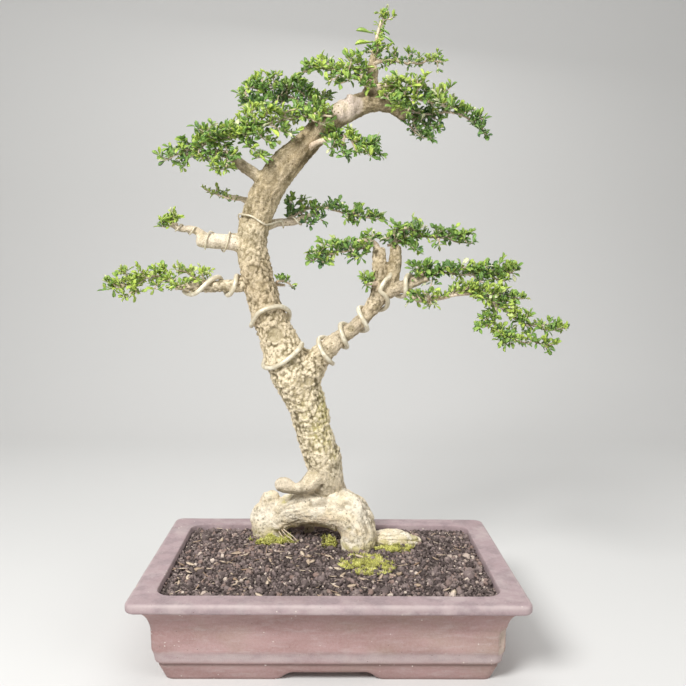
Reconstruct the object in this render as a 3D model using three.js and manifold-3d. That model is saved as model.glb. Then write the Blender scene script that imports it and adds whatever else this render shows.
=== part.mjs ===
// A trained bonsai on an arched stone, in a shallow rectangular pot. Millimetres, +Z up.
// Places are given from the middle of the pot: X along it, -Y to its front, Z up from its feet.
import * as THREE from "three";
import { mergeVertices } from "three/addons/utils/BufferGeometryUtils.js";
import Module from "manifold-3d";

const wasm = await Module();
wasm.setup();

// Clearance kept between pieces that touch.
const gap = 0.3;

// Pot.
const potLength = 356;
const potDepth = 246;
const potHeight = 81;
const rimCorner = 18; // corner radius of the rim's outline
const rimWidth = 22; // flat top of the rim, from its outer to its inner edge
const rimThickness = 9;
const rimRound = 3; // rounding of the rim's edges
const coveDrop = 22; // height of the hollow curve under the rim
const waistInset = 18; // wall behind the rim's edge, at the foot of the cove
const beadHeight = 25; // top of the ledge above the foot band, from the ground
const grooveHeight = 16;
const grooveDepth = 2.5;
const footInset = 29; // foot band behind the rim's edge, at the ground
const footRise = 8; // opening under the floor between the feet
const footWidth = 16;
const frontFootGap = 94;
const sideFootGap = 70;
const footSlope = 12; // each foot's end leans back by this much
const wallThickness = 9;
const floorThickness = 9;
const innerFillet = 8;
const cornerSteps = 4;

// Drainage: two holes, each under a mesh that a bent wire holds down.
const drainSpacing = 150;
const drainRadius = 12;
const meshSide = 34;
const meshThickness = 1.2;
const meshPitch = 7;
const meshHole = 4.6;
const meshHoles = 4;
const stapleRadius = 0.8;
const stapleBend = 1.5;
const stapleTail = 9;

// Soil.
const soilDrop = 6.5; // soil below the rim's top, at the edge
const soilMound = 3; // rise from the edge to the middle

// Training wire.
const thickWire = 2.4; // radius
const thinWire = 0.9;
const wireSides = 6;
const barkRelief = 0.06; // bark stands proud of the mean radius by this share

function toSolid(geometry) {
  const bare = geometry.clone();
  bare.deleteAttribute("normal");
  bare.deleteAttribute("uv");
  const merged = mergeVertices(bare, 1e-4);
  const vertProperties = new Float32Array(merged.attributes.position.array);
  const triVerts = new Uint32Array(merged.index.array);
  return new wasm.Manifold(new wasm.Mesh({ numProp: 3, vertProperties, triVerts }));
}

function toGeometry(solid) {
  const { vertProperties, triVerts } = solid.getMesh();
  const geometry = new THREE.BufferGeometry();
  geometry.setAttribute("position", new THREE.BufferAttribute(vertProperties, 3));
  geometry.setIndex(new THREE.BufferAttribute(triVerts, 1));
  geometry.computeVertexNormals();
  return geometry;
}

const join = (solids) => solids.reduce((whole, next) => whole.add(next));
const cut = (solid, tools) => tools.reduce((rest, tool) => rest.subtract(tool), solid);

// A box standing on z, centred on (x, y).
function block(length, depth, height, x, y, z) {
  return toSolid(new THREE.BoxGeometry(length, depth, height).translate(x, y, z + height / 2));
}

// A closed body through rings with as many points each, its ends closed to their middles.
function skin(rings) {
  const sides = rings[0].length;
  const middle = (ring) =>
    ring.reduce((sum, point) => sum.add(point), new THREE.Vector3()).divideScalar(sides);
  const first = rings.length * sides;
  const last = first + 1;
  const top = first - sides;
  const index = [];
  for (let k = 0; k < sides; k++) {
    const next = (k + 1) % sides;
    for (let a = 0; a < top; a += sides) {
      index.push(a + k, a + next, a + sides + next);
      index.push(a + k, a + sides + next, a + sides + k);
    }
    index.push(first, next, k);
    index.push(last, top + k, top + next);
  }
  const points = [...rings.flat(), middle(rings[0]), middle(rings.at(-1))];
  return toSolid(new THREE.BufferGeometry().setFromPoints(points).setIndex(index));
}

// Stones, wood and leaves stand on the soil, so their heights are given from the pot's rim.
const fromRim = ([x, y, z]) => new THREE.Vector3(x, y, z + potHeight);

// A limb is a list of points [x, y, z, radius]. A station counts along those points.
// Its reach to the front and back is its radius times depth.
function limb(points, { sides = 7, ringsPerPoint = 1, relief = barkRelief, depth = 1 } = {}) {
  const curve = new THREE.CatmullRomCurve3(points.map(fromRim));
  return { points, sides, ringsPerPoint, relief, depth, curve };
}

// Where the limb is at a station, with the directions across it: front (-Y) and side.
function atStation({ points, curve }, station) {
  const spans = points.length - 1;
  const from = Math.min(Math.floor(station), spans - 1);
  const radius = THREE.MathUtils.lerp(points[from][3], points[from + 1][3], station - from);
  const centre = curve.getPoint(station / spans);
  const along = curve.getTangent(station / spans);
  const front = new THREE.Vector3(0, -1, 0).addScaledVector(along, along.y).normalize();
  const side = along.clone().cross(front);
  return { centre, radius, front, side };
}

function around({ centre, front, side }, angle, toSide, toFront = toSide) {
  return centre
    .clone()
    .addScaledVector(front, toFront * Math.cos(angle))
    .addScaledVector(side, toSide * Math.sin(angle));
}

// The limb's body, grown outwards by extra. The bark swells and shrinks in slow waves.
function limbSolid(branch, extra = 0) {
  const rings = [];
  const count = (branch.points.length - 1) * branch.ringsPerPoint;
  for (let i = 0; i <= count; i++) {
    const station = i / branch.ringsPerPoint;
    const place = atStation(branch, station);
    const ring = [];
    for (let k = 0; k < branch.sides; k++) {
      const angle = (2 * Math.PI * k) / branch.sides;
      const wave = 0.6 * Math.sin(2 * angle + 1.7 * station) + 0.4 * Math.sin(3 * angle - 2.3 * station);
      const reach = place.radius * (1 + branch.relief * wave);
      ring.push(around(place, angle, reach + extra, reach * branch.depth + extra));
    }
    rings.push(ring);
  }
  return skin(rings);
}

// Points of a wire wound round a limb through [station, degrees] pairs: 0 is the front,
// 90 the right of an upright limb, the underside of one that runs right, the top of one
// that runs left.
function wind(branch, turns, wireRadius) {
  const route = [];
  turns.slice(1).forEach(([station, degrees], i) => {
    const [fromStation, fromDegrees] = turns[i];
    const steps = Math.max(1, Math.round(Math.abs(degrees - fromDegrees) / 30));
    for (let k = 0; k < steps; k++) {
      const part = k / steps;
      const place = atStation(branch, THREE.MathUtils.lerp(fromStation, station, part));
      const angle = THREE.MathUtils.degToRad(THREE.MathUtils.lerp(fromDegrees, degrees, part));
      route.push(around(place, angle, place.radius * (1 + branch.relief) + gap + wireRadius));
    }
  });
  return route;
}

// A round wire through the points, grown by extra outwards and in a ball past each end.
function wire(points, radius, extra = 0) {
  const section = new THREE.Shape();
  for (let k = 0; k < wireSides; k++) {
    const angle = (2 * Math.PI * k) / wireSides;
    const corner = [(radius + extra) * Math.cos(angle), (radius + extra) * Math.sin(angle)];
    if (k === 0) section.moveTo(...corner);
    else section.lineTo(...corner);
  }
  section.closePath();
  const extrudePath = new THREE.CatmullRomCurve3(points);
  const steps = points.length - 1;
  const outline = { steps, extrudePath, bevelEnabled: false };
  const body = toSolid(new THREE.ExtrudeGeometry(section, outline));
  if (extra === 0) return body;
  const ends = [points[0], points.at(-1)].map(({ x, y, z }) =>
    toSolid(new THREE.SphereGeometry(radius + 2 * extra, 8, 6).translate(x, y, z)),
  );
  return join([body, ...ends]);
}

// One level of the pot: a rounded rectangle set in from the rim's outline.
function potRing(inset, corner, z) {
  const reachX = potLength / 2 - inset - corner;
  const reachY = potDepth / 2 - inset - corner;
  const ring = [];
  for (const [quarter, x, y] of [[0, 1, 1], [1, -1, 1], [2, -1, -1], [3, 1, -1]]) {
    for (let k = 0; k <= cornerSteps; k++) {
      const angle = ((quarter + k / cornerSteps) * Math.PI) / 2;
      const px = x * reachX + corner * Math.cos(angle);
      ring.push(new THREE.Vector3(px, y * reachY + corner * Math.sin(angle), z));
    }
  }
  return ring;
}

const outerCorner = (inset) => Math.max(rimCorner - inset / 2, 4);
const innerCorner = rimCorner - 2;
const floorTop = footRise + floorThickness;
const rimUnderside = potHeight - rimThickness;
const coveFoot = rimUnderside - coveDrop;
const hollowInset = waistInset + wallThickness;

// The outside from the ground to the rim's top, as distance in from the rim and height.
const outerProfile = new THREE.Path()
  .moveTo(footInset, 0)
  .lineTo(waistInset + 2 * grooveDepth + 1, grooveHeight - grooveDepth)
  .lineTo(waistInset + 2 * grooveDepth + 1, grooveHeight)
  .lineTo(waistInset + grooveDepth + 1, grooveHeight + grooveDepth)
  .quadraticCurveTo(waistInset + grooveDepth, beadHeight, waistInset + 1, beadHeight + 4)
  .lineTo(waistInset, coveFoot)
  .quadraticCurveTo(waistInset - 3, rimUnderside - 5, rimRound, rimUnderside)
  .quadraticCurveTo(0, rimUnderside, 0, rimUnderside + rimRound)
  .lineTo(0, potHeight - rimRound)
  .quadraticCurveTo(0, potHeight, rimRound, potHeight);

// The inside from the floor to the rim's inner edge.
const innerProfile = new THREE.Path()
  .moveTo(hollowInset + innerFillet, floorTop)
  .quadraticCurveTo(hollowInset, floorTop, hollowInset, floorTop + innerFillet)
  .lineTo(rimWidth + 1, rimUnderside)
  .lineTo(rimWidth, potHeight);

// The pot's hollow up to a height, drawn in by extra from the walls and the floor.
function hollowRings(extra, upTo) {
  const wall = innerProfile.getPoints(3);
  const above = wall.findIndex(({ y }) => y >= upTo);
  const [low, high] = [wall[above - 1], wall[above]];
  const inset = THREE.MathUtils.mapLinear(upTo, low.y, high.y, low.x, high.x);
  const rings = wall.slice(0, above).map(({ x, y }) => potRing(x + extra, innerCorner, y + extra));
  rings.push(potRing(inset + extra, innerCorner, upTo));
  return rings;
}

function makePot() {
  const body = skin(outerProfile.getPoints(3).map(({ x, y }) => potRing(x, outerCorner(x), y)));
  const hollow = hollowRings(0, potHeight);
  hollow.push(potRing(rimWidth, innerCorner, potHeight + 1));
  const recessInset = 2 * (footInset + footWidth);
  const underFloor = block(potLength - recessInset, potDepth - recessInset, footRise + 1, 0, 0, -1);
  // Openings between the feet, wider at the ground than under the floor.
  const footGap = (width, through) => {
    const outline = new THREE.Shape([
      new THREE.Vector2(-width / 2 - 1, -1),
      new THREE.Vector2(width / 2 + 1, -1),
      new THREE.Vector2(width / 2 - footSlope, footRise),
      new THREE.Vector2(footSlope - width / 2, footRise),
    ]);
    const bar = new THREE.ExtrudeGeometry(outline, { depth: through, bevelEnabled: false });
    return bar.translate(0, 0, -through / 2).rotateX(Math.PI / 2);
  };
  const frontGap = toSolid(footGap(frontFootGap, potDepth));
  const sideGap = toSolid(footGap(sideFootGap, potLength).rotateZ(Math.PI / 2));
  const drains = [-1, 1].map((side) => {
    const drill = new THREE.CylinderGeometry(drainRadius, drainRadius, 4 * floorThickness, 24);
    return toSolid(drill.rotateX(Math.PI / 2).translate((side * drainSpacing) / 2, 0, floorTop));
  });
  return cut(body, [skin(hollow), underFloor, frontGap, sideGap, ...drains]);
}

const meshBottom = floorTop + gap;
const bridgeHeight = meshBottom + meshThickness + 3 * gap + stapleRadius;

function makeDrainMesh(x) {
  const holes = [];
  const first = (-(meshHoles - 1) * meshPitch) / 2;
  for (let i = 0; i < meshHoles; i++) {
    for (let j = 0; j < meshHoles; j++) {
      const [holeX, holeY] = [x + first + i * meshPitch, first + j * meshPitch];
      holes.push(block(meshHole, meshHole, 3 * meshThickness, holeX, holeY, meshBottom - meshThickness));
    }
  }
  return cut(block(meshSide, meshSide, meshThickness, x, 0, meshBottom), holes);
}

// A bent wire: over the mesh, down through it and the drain hole, and out under the floor.
const stapleHalf = meshPitch / 2; // its legs go through the two middle columns of holes

function makeStaple(x) {
  const tailHeight = footRise - gap - stapleRadius;
  const y = meshPitch / 2;
  const half = [
    [0, bridgeHeight],
    [stapleHalf - stapleBend, bridgeHeight],
    [stapleHalf, bridgeHeight - stapleBend],
    [stapleHalf, (bridgeHeight + tailHeight) / 2],
    [stapleHalf, tailHeight + stapleBend],
    [stapleHalf + stapleBend, tailHeight],
    [drainRadius + stapleTail, tailHeight],
  ];
  const left = half.slice(1).reverse().map(([px, z]) => new THREE.Vector3(x - px, y, z));
  const right = half.map(([px, z]) => new THREE.Vector3(x + px, y, z));
  return wire([...left, ...right], stapleRadius);
}

const stoneRelief = 0.07;
const stone = { sides: 12, ringsPerPoint: 2, relief: stoneRelief };
const archStone = [
  limb([
    [-58, 75, 17, 17], [-44, 71, 25, 20], [-20, 62, 32, 21.5], [4, 55, 33, 22],
    [20, 48, 28, 21.5], [28, 41, 12, 18.5], [29, 38, -9, 18], [29, 37, -27, 16],
  ], stone),
  limb([
    [-66, 76, -29, 19], [-67, 76, -9, 20], [-66, 76, 17, 21], [-66, 75, 33, 19], [-67, 75, 48, 10],
  ], { ...stone, depth: 0.8 }),
];
const flatStone = [
  limb([
    [50, 50, -1, 9], [58, 49, 0, 12], [70, 48, 0, 12], [84, 50, -2, 10], [98, 54, -4, 5],
  ], { ...stone, depth: 1.35 }),
];
const stoneSolid = (limbs, extra = 0) => join(limbs.map((part) => limbSolid(part, extra)));

const trunk = limb([
  [-4, 58, 41, 13], [-4, 54, 65, 19], [-9, 51, 91, 19.2], [-17, 47, 117, 18.6],
  [-25, 44, 145, 19.5], [-38, 42, 177, 24], [-50, 41, 204, 20.5], [-61, 42, 229, 17.5],
  [-71, 43, 259, 16.8], [-79, 45, 287, 16.5], [-84, 47, 312, 15.2], [-82, 48, 331, 16],
  [-76, 47, 351, 16.5], [-66, 45, 373, 16.5], [-50, 42, 395, 15.5], [-30, 40, 416, 13.8],
  [-10, 38, 435, 13], [12, 37, 450, 12.2], [36, 37, 460, 10.8], [56, 38, 458, 9.4],
  [73, 39, 449, 8.4],
], { sides: 12, ringsPerPoint: 2 });
const leader = limb([
  [37, 37, 459, 9], [38, 37, 475, 7], [38, 38, 488, 5.5], [38, 39, 502, 3], [42, 40, 517, 2],
]);
const upperLeft = limb([
  [-62, 44, 371, 9], [-78, 41, 385, 7], [-91, 37, 393, 5.8], [-103, 33, 403, 4.6],
  [-122, 30, 408, 2.6],
]);
const leftStub = limb([
  [-84, 47, 316, 10], [-105, 45, 317, 8.6], [-122, 43, 318, 8], [-137, 42, 319, 7],
]);
const leftTip = limb([
  [-130, 42, 320, 5.5], [-138, 42, 327, 4.6], [-147, 41, 330, 3.8], [-157, 40, 330, 3.2],
  [-166, 40, 334, 2.4],
]);
const leftLow = limb([
  [-78, 44, 282, 9], [-95, 41, 273, 7.4], [-112, 37, 272, 6.3], [-137, 34, 271, 5.6],
  [-160, 32, 271, 4],
]);
const backLeft = limb([
  [-80, 52, 356, 6], [-96, 59, 363, 3], [-110, 63, 366, 1.8],
], { sides: 6 });
const backRight = limb([
  [-76, 52, 333, 7], [-58, 64, 339, 4.6], [-40, 72, 341, 4], [-24, 76, 348, 3],
]);
const rightBranch = limb([
  [-30, 41, 173, 20], [-18, 39, 193, 14.5], [-5, 37, 207, 10.5], [10, 35, 220, 8.2],
  [25, 34, 232, 7.6], [37, 34, 245, 7.4], [47, 35, 260, 8.8], [50, 36, 277, 8.8],
  [49, 37, 294, 8], [48, 38, 310, 6.5],
], { sides: 9, ringsPerPoint: 2 });
const rightStub = limb([
  [48, 35, 262, 8.5], [60, 34, 269, 7.8], [72, 33, 273, 6.4], [84, 31, 278, 5.4],
  [98, 29, 282, 3],
]);
const rightUpper = limb([
  [56, 36, 265, 8.5], [62, 37, 283, 8], [65, 39, 298, 7.2], [66, 41, 313, 5.8],
]);
const rightUnder = limb([
  [74, 32, 271, 5], [84, 27, 264, 3.6], [98, 24, 263, 3],
], { sides: 6 });
const frontRoot = limb([
  [-8, 49, 77, 13], [-20, 42, 66, 10.5], [-32, 38, 60, 7.5], [-44, 37, 59, 7.5],
  [-54, 38, 61, 8.6], [-60, 39, 62, 6],
], { sides: 9, ringsPerPoint: 2 });
const backRoot = limb([
  [-10, 62, 71, 13], [-16, 79, 57, 9], [-20, 88, 35, 7], [-22, 90, 11, 6], [-24, 88, -17, 5],
  [-27, 84, -39, 3.5],
]);
const sideRoot = limb([
  [0, 64, 71, 11], [7, 78, 57, 8], [15, 84, 37, 7], [22, 83, 13, 6], [26, 80, -13, 5],
  [28, 78, -35, 3.5],
]);
const limbs = [
  trunk, leader, upperLeft, leftStub, leftTip, leftLow, backLeft, backRight, rightBranch,
  rightStub, rightUpper, rightUnder, frontRoot, backRoot, sideRoot,
];
const woodSolid = (extra = 0) => join(limbs.map((part) => limbSolid(part, extra)));

// One length holds two branches, crossing the trunk between them.
const thickRoute = [
  ...wind(leftLow, [
    [3.7, -140], [3.35, -90], [2.8, 0], [2.2, 90], [1.95, 180], [1.75, 270], [1.45, 360],
    [1.15, 450],
  ], thickWire),
  ...wind(trunk, [
    [9.0, -100], [8.7, -140], [8.2, -165], [7.7, -140], [7.3, -100], [7.35, -60], [7.6, -20],
    [7.65, 10], [7.6, 45], [7.35, 90], [6.9, 150], [6.4, 205], [5.95, 250], [5.8, 285],
    [5.7, 325], [5.75, 360], [5.9, 400], [6.15, 445],
  ], thickWire),
  ...wind(rightBranch, [
    [1.0, -105], [1.2, -150], [1.45, -210], [1.7, -270], [1.85, -360], [2.1, -450],
    [2.5, -540], [2.9, -630], [3.15, -720], [3.4, -810], [3.75, -900], [4.3, -990],
    [4.55, -1080], [4.9, -1170], [5.3, -1260], [5.85, -1350], [6.5, -1440], [7.1, -1420],
    [7.5, -1370], [7.6, -1290],
  ], thickWire),
  ...wind(rightStub, [
    [1.2, -200], [1.6, -240], [1.95, -270], [2.35, -360], [2.8, -450], [3.1, -540],
  ], thickWire),
];
const thinRoute = [
  ...wind(leftTip, [
    [3.3, -60], [3.1, 0], [2.9, 90], [2.4, 180], [1.9, 270], [1.6, 360], [1.4, 430],
  ], thinWire),
  ...wind(leftStub, [
    [2.7, 180], [2.6, 270], [2.5, 360], [2.3, 450], [1.7, 540], [1.4, 630], [1.2, 720], [1.1, 810],
    [0.95, 870],
  ], thinWire),
  ...wind(trunk, [
    [10.9, -170], [11.2, -120], [11.5, -70], [11.6, -10], [11.4, 40], [11.2, 80],
  ], thinWire),
  ...wind(backRight, [[1.1, 0], [1.5, 180], [2, 360], [2.5, 540], [2.8, 630]], thinWire),
];

// A spray is the leaves and fine twigs at the end of a branch: the way it runs, how far its
// leaves reach to each side and up, and how many tufts they stand in.
const sprays = {
  crown_left_low: [[[-162, 26, 398], [-119, 26, 409], [-72, 24, 428], [-30, 20, 439]], 24, 17, 6],
  crown_left_top: [[[-84, 66, 481], [-62, 66, 478], [-38, 64, 470], [-10, 58, 460]], 20, 15, 4],
  crown_middle: [[[32, 28, 481], [16, 26, 481], [2, 28, 490], [-26, 30, 490]], 11, 9, 4],
  crown_tip: [[[42, 40, 511], [45, 38, 523], [47, 38, 535], [52, 38, 547]], 10, 10, 4],
  crown_tip_right: [[[54, 48, 502], [72, 50, 503], [92, 50, 503], [106, 49, 499]], 9, 6, 4],
  crown_right_top: [[[52, 26, 475], [72, 20, 475], [92, 18, 473], [108, 18, 466]], 14, 13, 4],
  crown_right_low: [[[84, 46, 447], [100, 50, 443], [122, 50, 447], [152, 50, 433]], 16, 11, 5],
  crown_under: [[[-4, 14, 419], [12, 12, 413], [28, 13, 410], [44, 15, 407]], 10, 9, 4],
  back_left: [[[-107, 63, 366], [-119, 64, 368], [-132, 66, 372]], 8, 5, 3],
  back_right: [[[-26, 77, 350], [-6, 79, 358], [22, 82, 353], [50, 84, 344]], 13, 10, 5],
  left_tip: [[[-165, 40, 334], [-173, 38, 336]], 10, 9, 2],
  left_low: [[[-150, 31, 275], [-178, 29, 274], [-204, 29, 271], [-228, 29, 271]], 18, 13, 5],
  trunk_sprig: [[[-54, 61, 274], [-44, 64, 271]], 7, 5, 2],
  right_top_left: [[[36, 38, 322], [18, 40, 316], [0, 41, 312], [-18, 42, 308]], 17, 11, 4],
  right_top_right: [[[60, 46, 333], [86, 42, 333], [110, 42, 329], [134, 42, 326]], 19, 12, 5],
  branch_sprig: [[[36, 22, 275], [28, 20, 274]], 8, 8, 2],
  right_low: [[[96, 32, 289], [122, 31, 292], [152, 31, 293], [184, 31, 292]], 21, 11, 5],
  right_under: [[[96, 12, 261], [112, 11, 263], [134, 12, 268], [156, 15, 266]], 14, 9, 4],
  cascade: [[[168, 14, 251], [184, 12, 242], [208, 11, 237], [234, 10, 233]], 13, 9, 4],
  cascade_low: [[[158, 6, 231], [176, 4, 225], [198, 4, 222], [218, 6, 216]], 12, 9, 4],
};

// The spray's envelope, one flattened ball for each tuft, grown outwards by extra.
function spraySolid([route, across, up, tufts], extra = 0) {
  const path = new THREE.CatmullRomCurve3(route.map(fromRim));
  const pace = path.getLength() / (tufts - 1);
  const balls = [];
  for (let i = 0; i < tufts; i++) {
    const part = i / (tufts - 1);
    const fullness = 0.65 + 0.35 * Math.sin(Math.PI * part);
    const along = path.getTangentAt(part);
    const heading = Math.atan2(along.y, along.x);
    const climb = -Math.asin(along.z);
    const ball = new THREE.SphereGeometry(1, 6, 4).rotateX(Math.PI / 2);
    ball.scale(0.75 * pace + extra, across * fullness + extra, up * fullness + extra);
    ball.rotateY(climb).rotateZ(heading);
    const centre = path.getPointAt(part);
    ball.translate(centre.x, centre.y + 0.2 * across * Math.sin(2.4 * i), centre.z);
    balls.push(toSolid(ball));
  }
  return join(balls);
}

// Cushions on the soil: x, y, reach along X, reach along Y, height.
const mossCushions = {
  moss_front: [38, -16, 18, 14, 5],
  moss_side: [70, 26, 12, 8, 6],
  moss_arch: [-4, 44, 9, 7, 5],
  moss_left: [-62, 50, 14, 8, 6],
};

function mossSolid([x, y, reachX, reachY, height]) {
  const cushion = new THREE.SphereGeometry(1, 14, 8).rotateX(Math.PI / 2);
  cushion.scale(reachX, reachY, 2 * height);
  return toSolid(cushion.translate(x, y, soilTop + soilMound - height));
}

const soilTop = potHeight - soilDrop;

// The soil's block, raised by extra where something rests on it.
function soilBlock(extra = 0) {
  const rings = hollowRings(gap, soilTop + extra);
  const edge = rimWidth + 1 + gap;
  for (const [share, rise] of [[0.2, 0.45], [0.5, 0.8], [0.8, 1]]) {
    const inset = edge + (share * potDepth) / 3;
    rings.push(potRing(inset, innerCorner * (1 - share / 2), soilTop + extra + rise * soilMound));
  }
  return skin(rings);
}

function makeSoil() {
  const drainClearance = [-1, 1].flatMap((side) => {
    const x = (side * drainSpacing) / 2;
    const wide = 2 * (stapleHalf + stapleRadius + gap);
    const deep = 2 * (stapleRadius + gap);
    const plate = meshSide + 2 * gap;
    return [
      block(plate, plate, meshThickness + 3 * gap, x, 0, floorTop - gap),
      block(wide, deep, bridgeHeight + stapleRadius + gap - floorTop, x, meshPitch / 2, floorTop),
    ];
  });
  const buried = [stoneSolid(archStone, gap), stoneSolid(flatStone, gap), woodSolid(gap)];
  return cut(soilBlock(), [...buried, ...drainClearance]);
}

const bonsai = new THREE.Group();

function addPiece(name, solid, color, roughness, metalness = 0) {
  const material = new THREE.MeshStandardMaterial({ color, roughness, metalness });
  const mesh = new THREE.Mesh(toGeometry(solid), material);
  mesh.name = name;
  bonsai.add(mesh);
}

addPiece("pot", makePot(), 0x8d7573, 0.8);
[["left", -1], ["right", 1]].forEach(([hand, side]) => {
  const x = (side * drainSpacing) / 2;
  addPiece(`drain_mesh_${hand}`, makeDrainMesh(x), 0x23231f, 0.6);
  addPiece(`mesh_wire_${hand}`, makeStaple(x), 0xa9a49a, 0.4, 1);
});
addPiece("soil", makeSoil(), 0x3b302b, 0.95);

const archGrown = stoneSolid(archStone, gap);
addPiece("arch_stone", stoneSolid(archStone), 0xcdbf9d, 0.9);
addPiece("flat_stone", cut(stoneSolid(flatStone), [archGrown, woodSolid(gap)]), 0xcdbf9d, 0.9);

const thickGrown = wire(thickRoute, thickWire, gap);
const thinGrown = wire(thinRoute, thinWire, gap);
addPiece("tree_wood", cut(woodSolid(), [archGrown, thickGrown, thinGrown]), 0xa89a76, 0.9);
addPiece("branch_wire_thick", wire(thickRoute, thickWire), 0x9a8b7d, 0.5, 0.6);
addPiece("branch_wire_thin", wire(thinRoute, thinWire), 0x9a8b7d, 0.5, 0.6);

const earlier = [woodSolid(gap), thickGrown, thinGrown];
for (const [name, spray] of Object.entries(sprays)) {
  addPiece(`leaves_${name}`, cut(spraySolid(spray), earlier), 0x3f6b2c, 0.5);
  earlier.push(spraySolid(spray, gap));
}

const mossSeat = [soilBlock(gap), archGrown, stoneSolid(flatStone, gap), woodSolid(gap)];
for (const [name, cushion] of Object.entries(mossCushions)) {
  addPiece(name, cut(mossSolid(cushion), mossSeat), 0x7f8f34, 0.95);
}

// The origin is on the ground under the middle of the whole plant's spread.
const spread = new THREE.Box3().setFromObject(bonsai).getCenter(new THREE.Vector3());
bonsai.position.set(-spread.x, -spread.y, 0);

export default bonsai;
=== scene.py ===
import math
import bpy
import numpy as np
from mathutils import Matrix, Vector


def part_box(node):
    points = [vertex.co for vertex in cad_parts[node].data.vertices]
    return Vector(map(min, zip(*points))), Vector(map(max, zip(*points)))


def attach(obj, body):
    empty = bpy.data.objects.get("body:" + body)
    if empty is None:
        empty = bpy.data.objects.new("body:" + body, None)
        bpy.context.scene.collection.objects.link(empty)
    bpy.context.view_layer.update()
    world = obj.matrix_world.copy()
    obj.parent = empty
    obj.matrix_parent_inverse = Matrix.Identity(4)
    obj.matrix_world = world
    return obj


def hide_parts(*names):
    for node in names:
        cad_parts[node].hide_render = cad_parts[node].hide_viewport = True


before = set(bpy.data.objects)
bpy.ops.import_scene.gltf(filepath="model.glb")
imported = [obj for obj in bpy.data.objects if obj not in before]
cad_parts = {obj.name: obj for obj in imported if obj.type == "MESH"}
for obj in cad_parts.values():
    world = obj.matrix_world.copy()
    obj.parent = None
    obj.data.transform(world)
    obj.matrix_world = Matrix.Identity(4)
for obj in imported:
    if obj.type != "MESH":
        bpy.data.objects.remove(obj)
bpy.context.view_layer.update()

# All the sizes below are millimetres from the middle of the pot, heights from the ground
# or, for what stands on the soil, from the top of the pot's rim.
potLow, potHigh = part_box("pot")
potMiddle = np.array([(potLow.x + potHigh.x) / 2, (potLow.y + potHigh.y) / 2, potLow.z])
rimTop = (potHigh.z - potLow.z) * 1000
halfLength = (potHigh.x - potLow.x) * 500
halfDepth = (potHigh.y - potLow.y) * 500
up = np.array([0.0, 0.0, 1.0])
rng = np.random.default_rng(11)
blockSize = 4000  # points measured against a path at a time


def unit(vectors):
    # each vector divided by its length
    return vectors / np.maximum(np.linalg.norm(vectors, axis=-1, keepdims=True), 1e-9)


def ramp(values, low, high):
    # 0 below low, 1 above high, 3t^2 - 2t^3 between
    t = np.clip((values - low) / (high - low), 0, 1)
    return t * t * (3 - 2 * t)


def latticeValue(corner, seed):
    # a number from 0 to 1 for each whole-number place: its coordinates times large primes, mixed
    whole = corner.astype(np.int64)
    bits = (whole[..., 0] * 73856093) ^ (whole[..., 1] * 19349663) ^ (whole[..., 2] * 83492791)
    bits = (bits ^ (seed * 2654435761)) & 0xFFFFFFFF
    for shift, factor in ((15, 739982445), (12, 695872825)):
        bits = ((bits ^ (bits >> shift)) * factor) & 0xFFFFFFFF
    return (bits ^ (bits >> 15)) / 2.0**32


def waves(points, size, seed):
    # random values at the corners of cubes of this size in millimetres, blended by 3t^2 - 2t^3,
    # from -1 to 1
    place = np.asarray(points, float) / size
    whole = np.floor(place)
    part = place - whole
    part = part * part * (3 - 2 * part)
    total = 0
    for corner in np.ndindex(2, 2, 2):
        share = np.prod(np.where(np.array(corner) == 1, part, 1 - part), axis=-1)
        total = total + share * latticeValue(whole + corner, seed)
    return 2 * total - 1


def layeredWaves(points, size, seed, layers=3):
    # waves, plus waves of half the size and half the height, and so on
    size = np.asarray(size, float)
    parts = [waves(points, size / 2**k, seed + k) / 2**k for k in range(layers)]
    return sum(parts) / (2 - 2.0 ** (1 - layers))


def cells(points, size, seed):
    # distance to the nearest and to the second of scattered seeds, one in each cube of this size,
    # in cube sides, and a number from 0 to 1 for the nearest
    place = np.asarray(points, float) / size
    whole = np.floor(place)
    near = np.full(len(place), 9.0)
    second, tint = near.copy(), np.zeros(len(place))
    for step in np.ndindex(3, 3, 3):
        cell = whole + step - 1
        middle = cell + np.stack([latticeValue(cell, seed + k) for k in range(3)], -1)
        distance = np.linalg.norm(place - middle, axis=-1)
        closer = distance < near
        second = np.where(closer, near, np.minimum(second, distance))
        tint = np.where(closer, latticeValue(cell, seed + 7), tint)
        near = np.where(closer, distance, near)
    return near, second, tint


def curveAt(points, stations):
    # centripetal Catmull-Rom through the points; station 2.5 is halfway from point 2 to point 3
    points = np.asarray(points, float)
    ends = np.vstack([2 * points[0] - points[1], points, 2 * points[-1] - points[-2]])
    first = np.clip(np.floor(stations).astype(int), 0, len(points) - 2)
    t = (np.asarray(stations) - first)[:, None]
    p = [ends[first + k] for k in range(4)]
    g = [np.sqrt(np.maximum(np.linalg.norm(p[k + 1] - p[k], axis=1, keepdims=True), 1e-6))
         for k in range(3)]
    leave = ((p[1] - p[0]) / g[0] - (p[2] - p[0]) / (g[0] + g[1]) + (p[2] - p[1]) / g[1]) * g[1]
    arrive = ((p[2] - p[1]) / g[1] - (p[3] - p[1]) / (g[1] + g[2]) + (p[3] - p[2]) / g[2]) * g[1]
    a = -3 * p[1] + 3 * p[2] - 2 * leave - arrive
    b = 2 * p[1] - 2 * p[2] + leave + arrive
    return p[1] + leave * t + a * t**2 + b * t**3, unit(leave + 2 * a * t + 3 * b * t**2)


def runOf(path):
    # how far along the path each of its points is
    return np.concatenate([[0], np.cumsum(np.linalg.norm(np.diff(path, axis=0), axis=1))])


def evenStations(points, pace):
    # stations about this far apart along the curve
    fine = np.linspace(0, len(points) - 1, 40 * len(points))
    length = runOf(curveAt(points, fine)[0])
    count = max(3, int(round(length[-1] / pace)) + 1)
    return np.interp(np.linspace(0, length[-1], count), length, fine)


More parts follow.
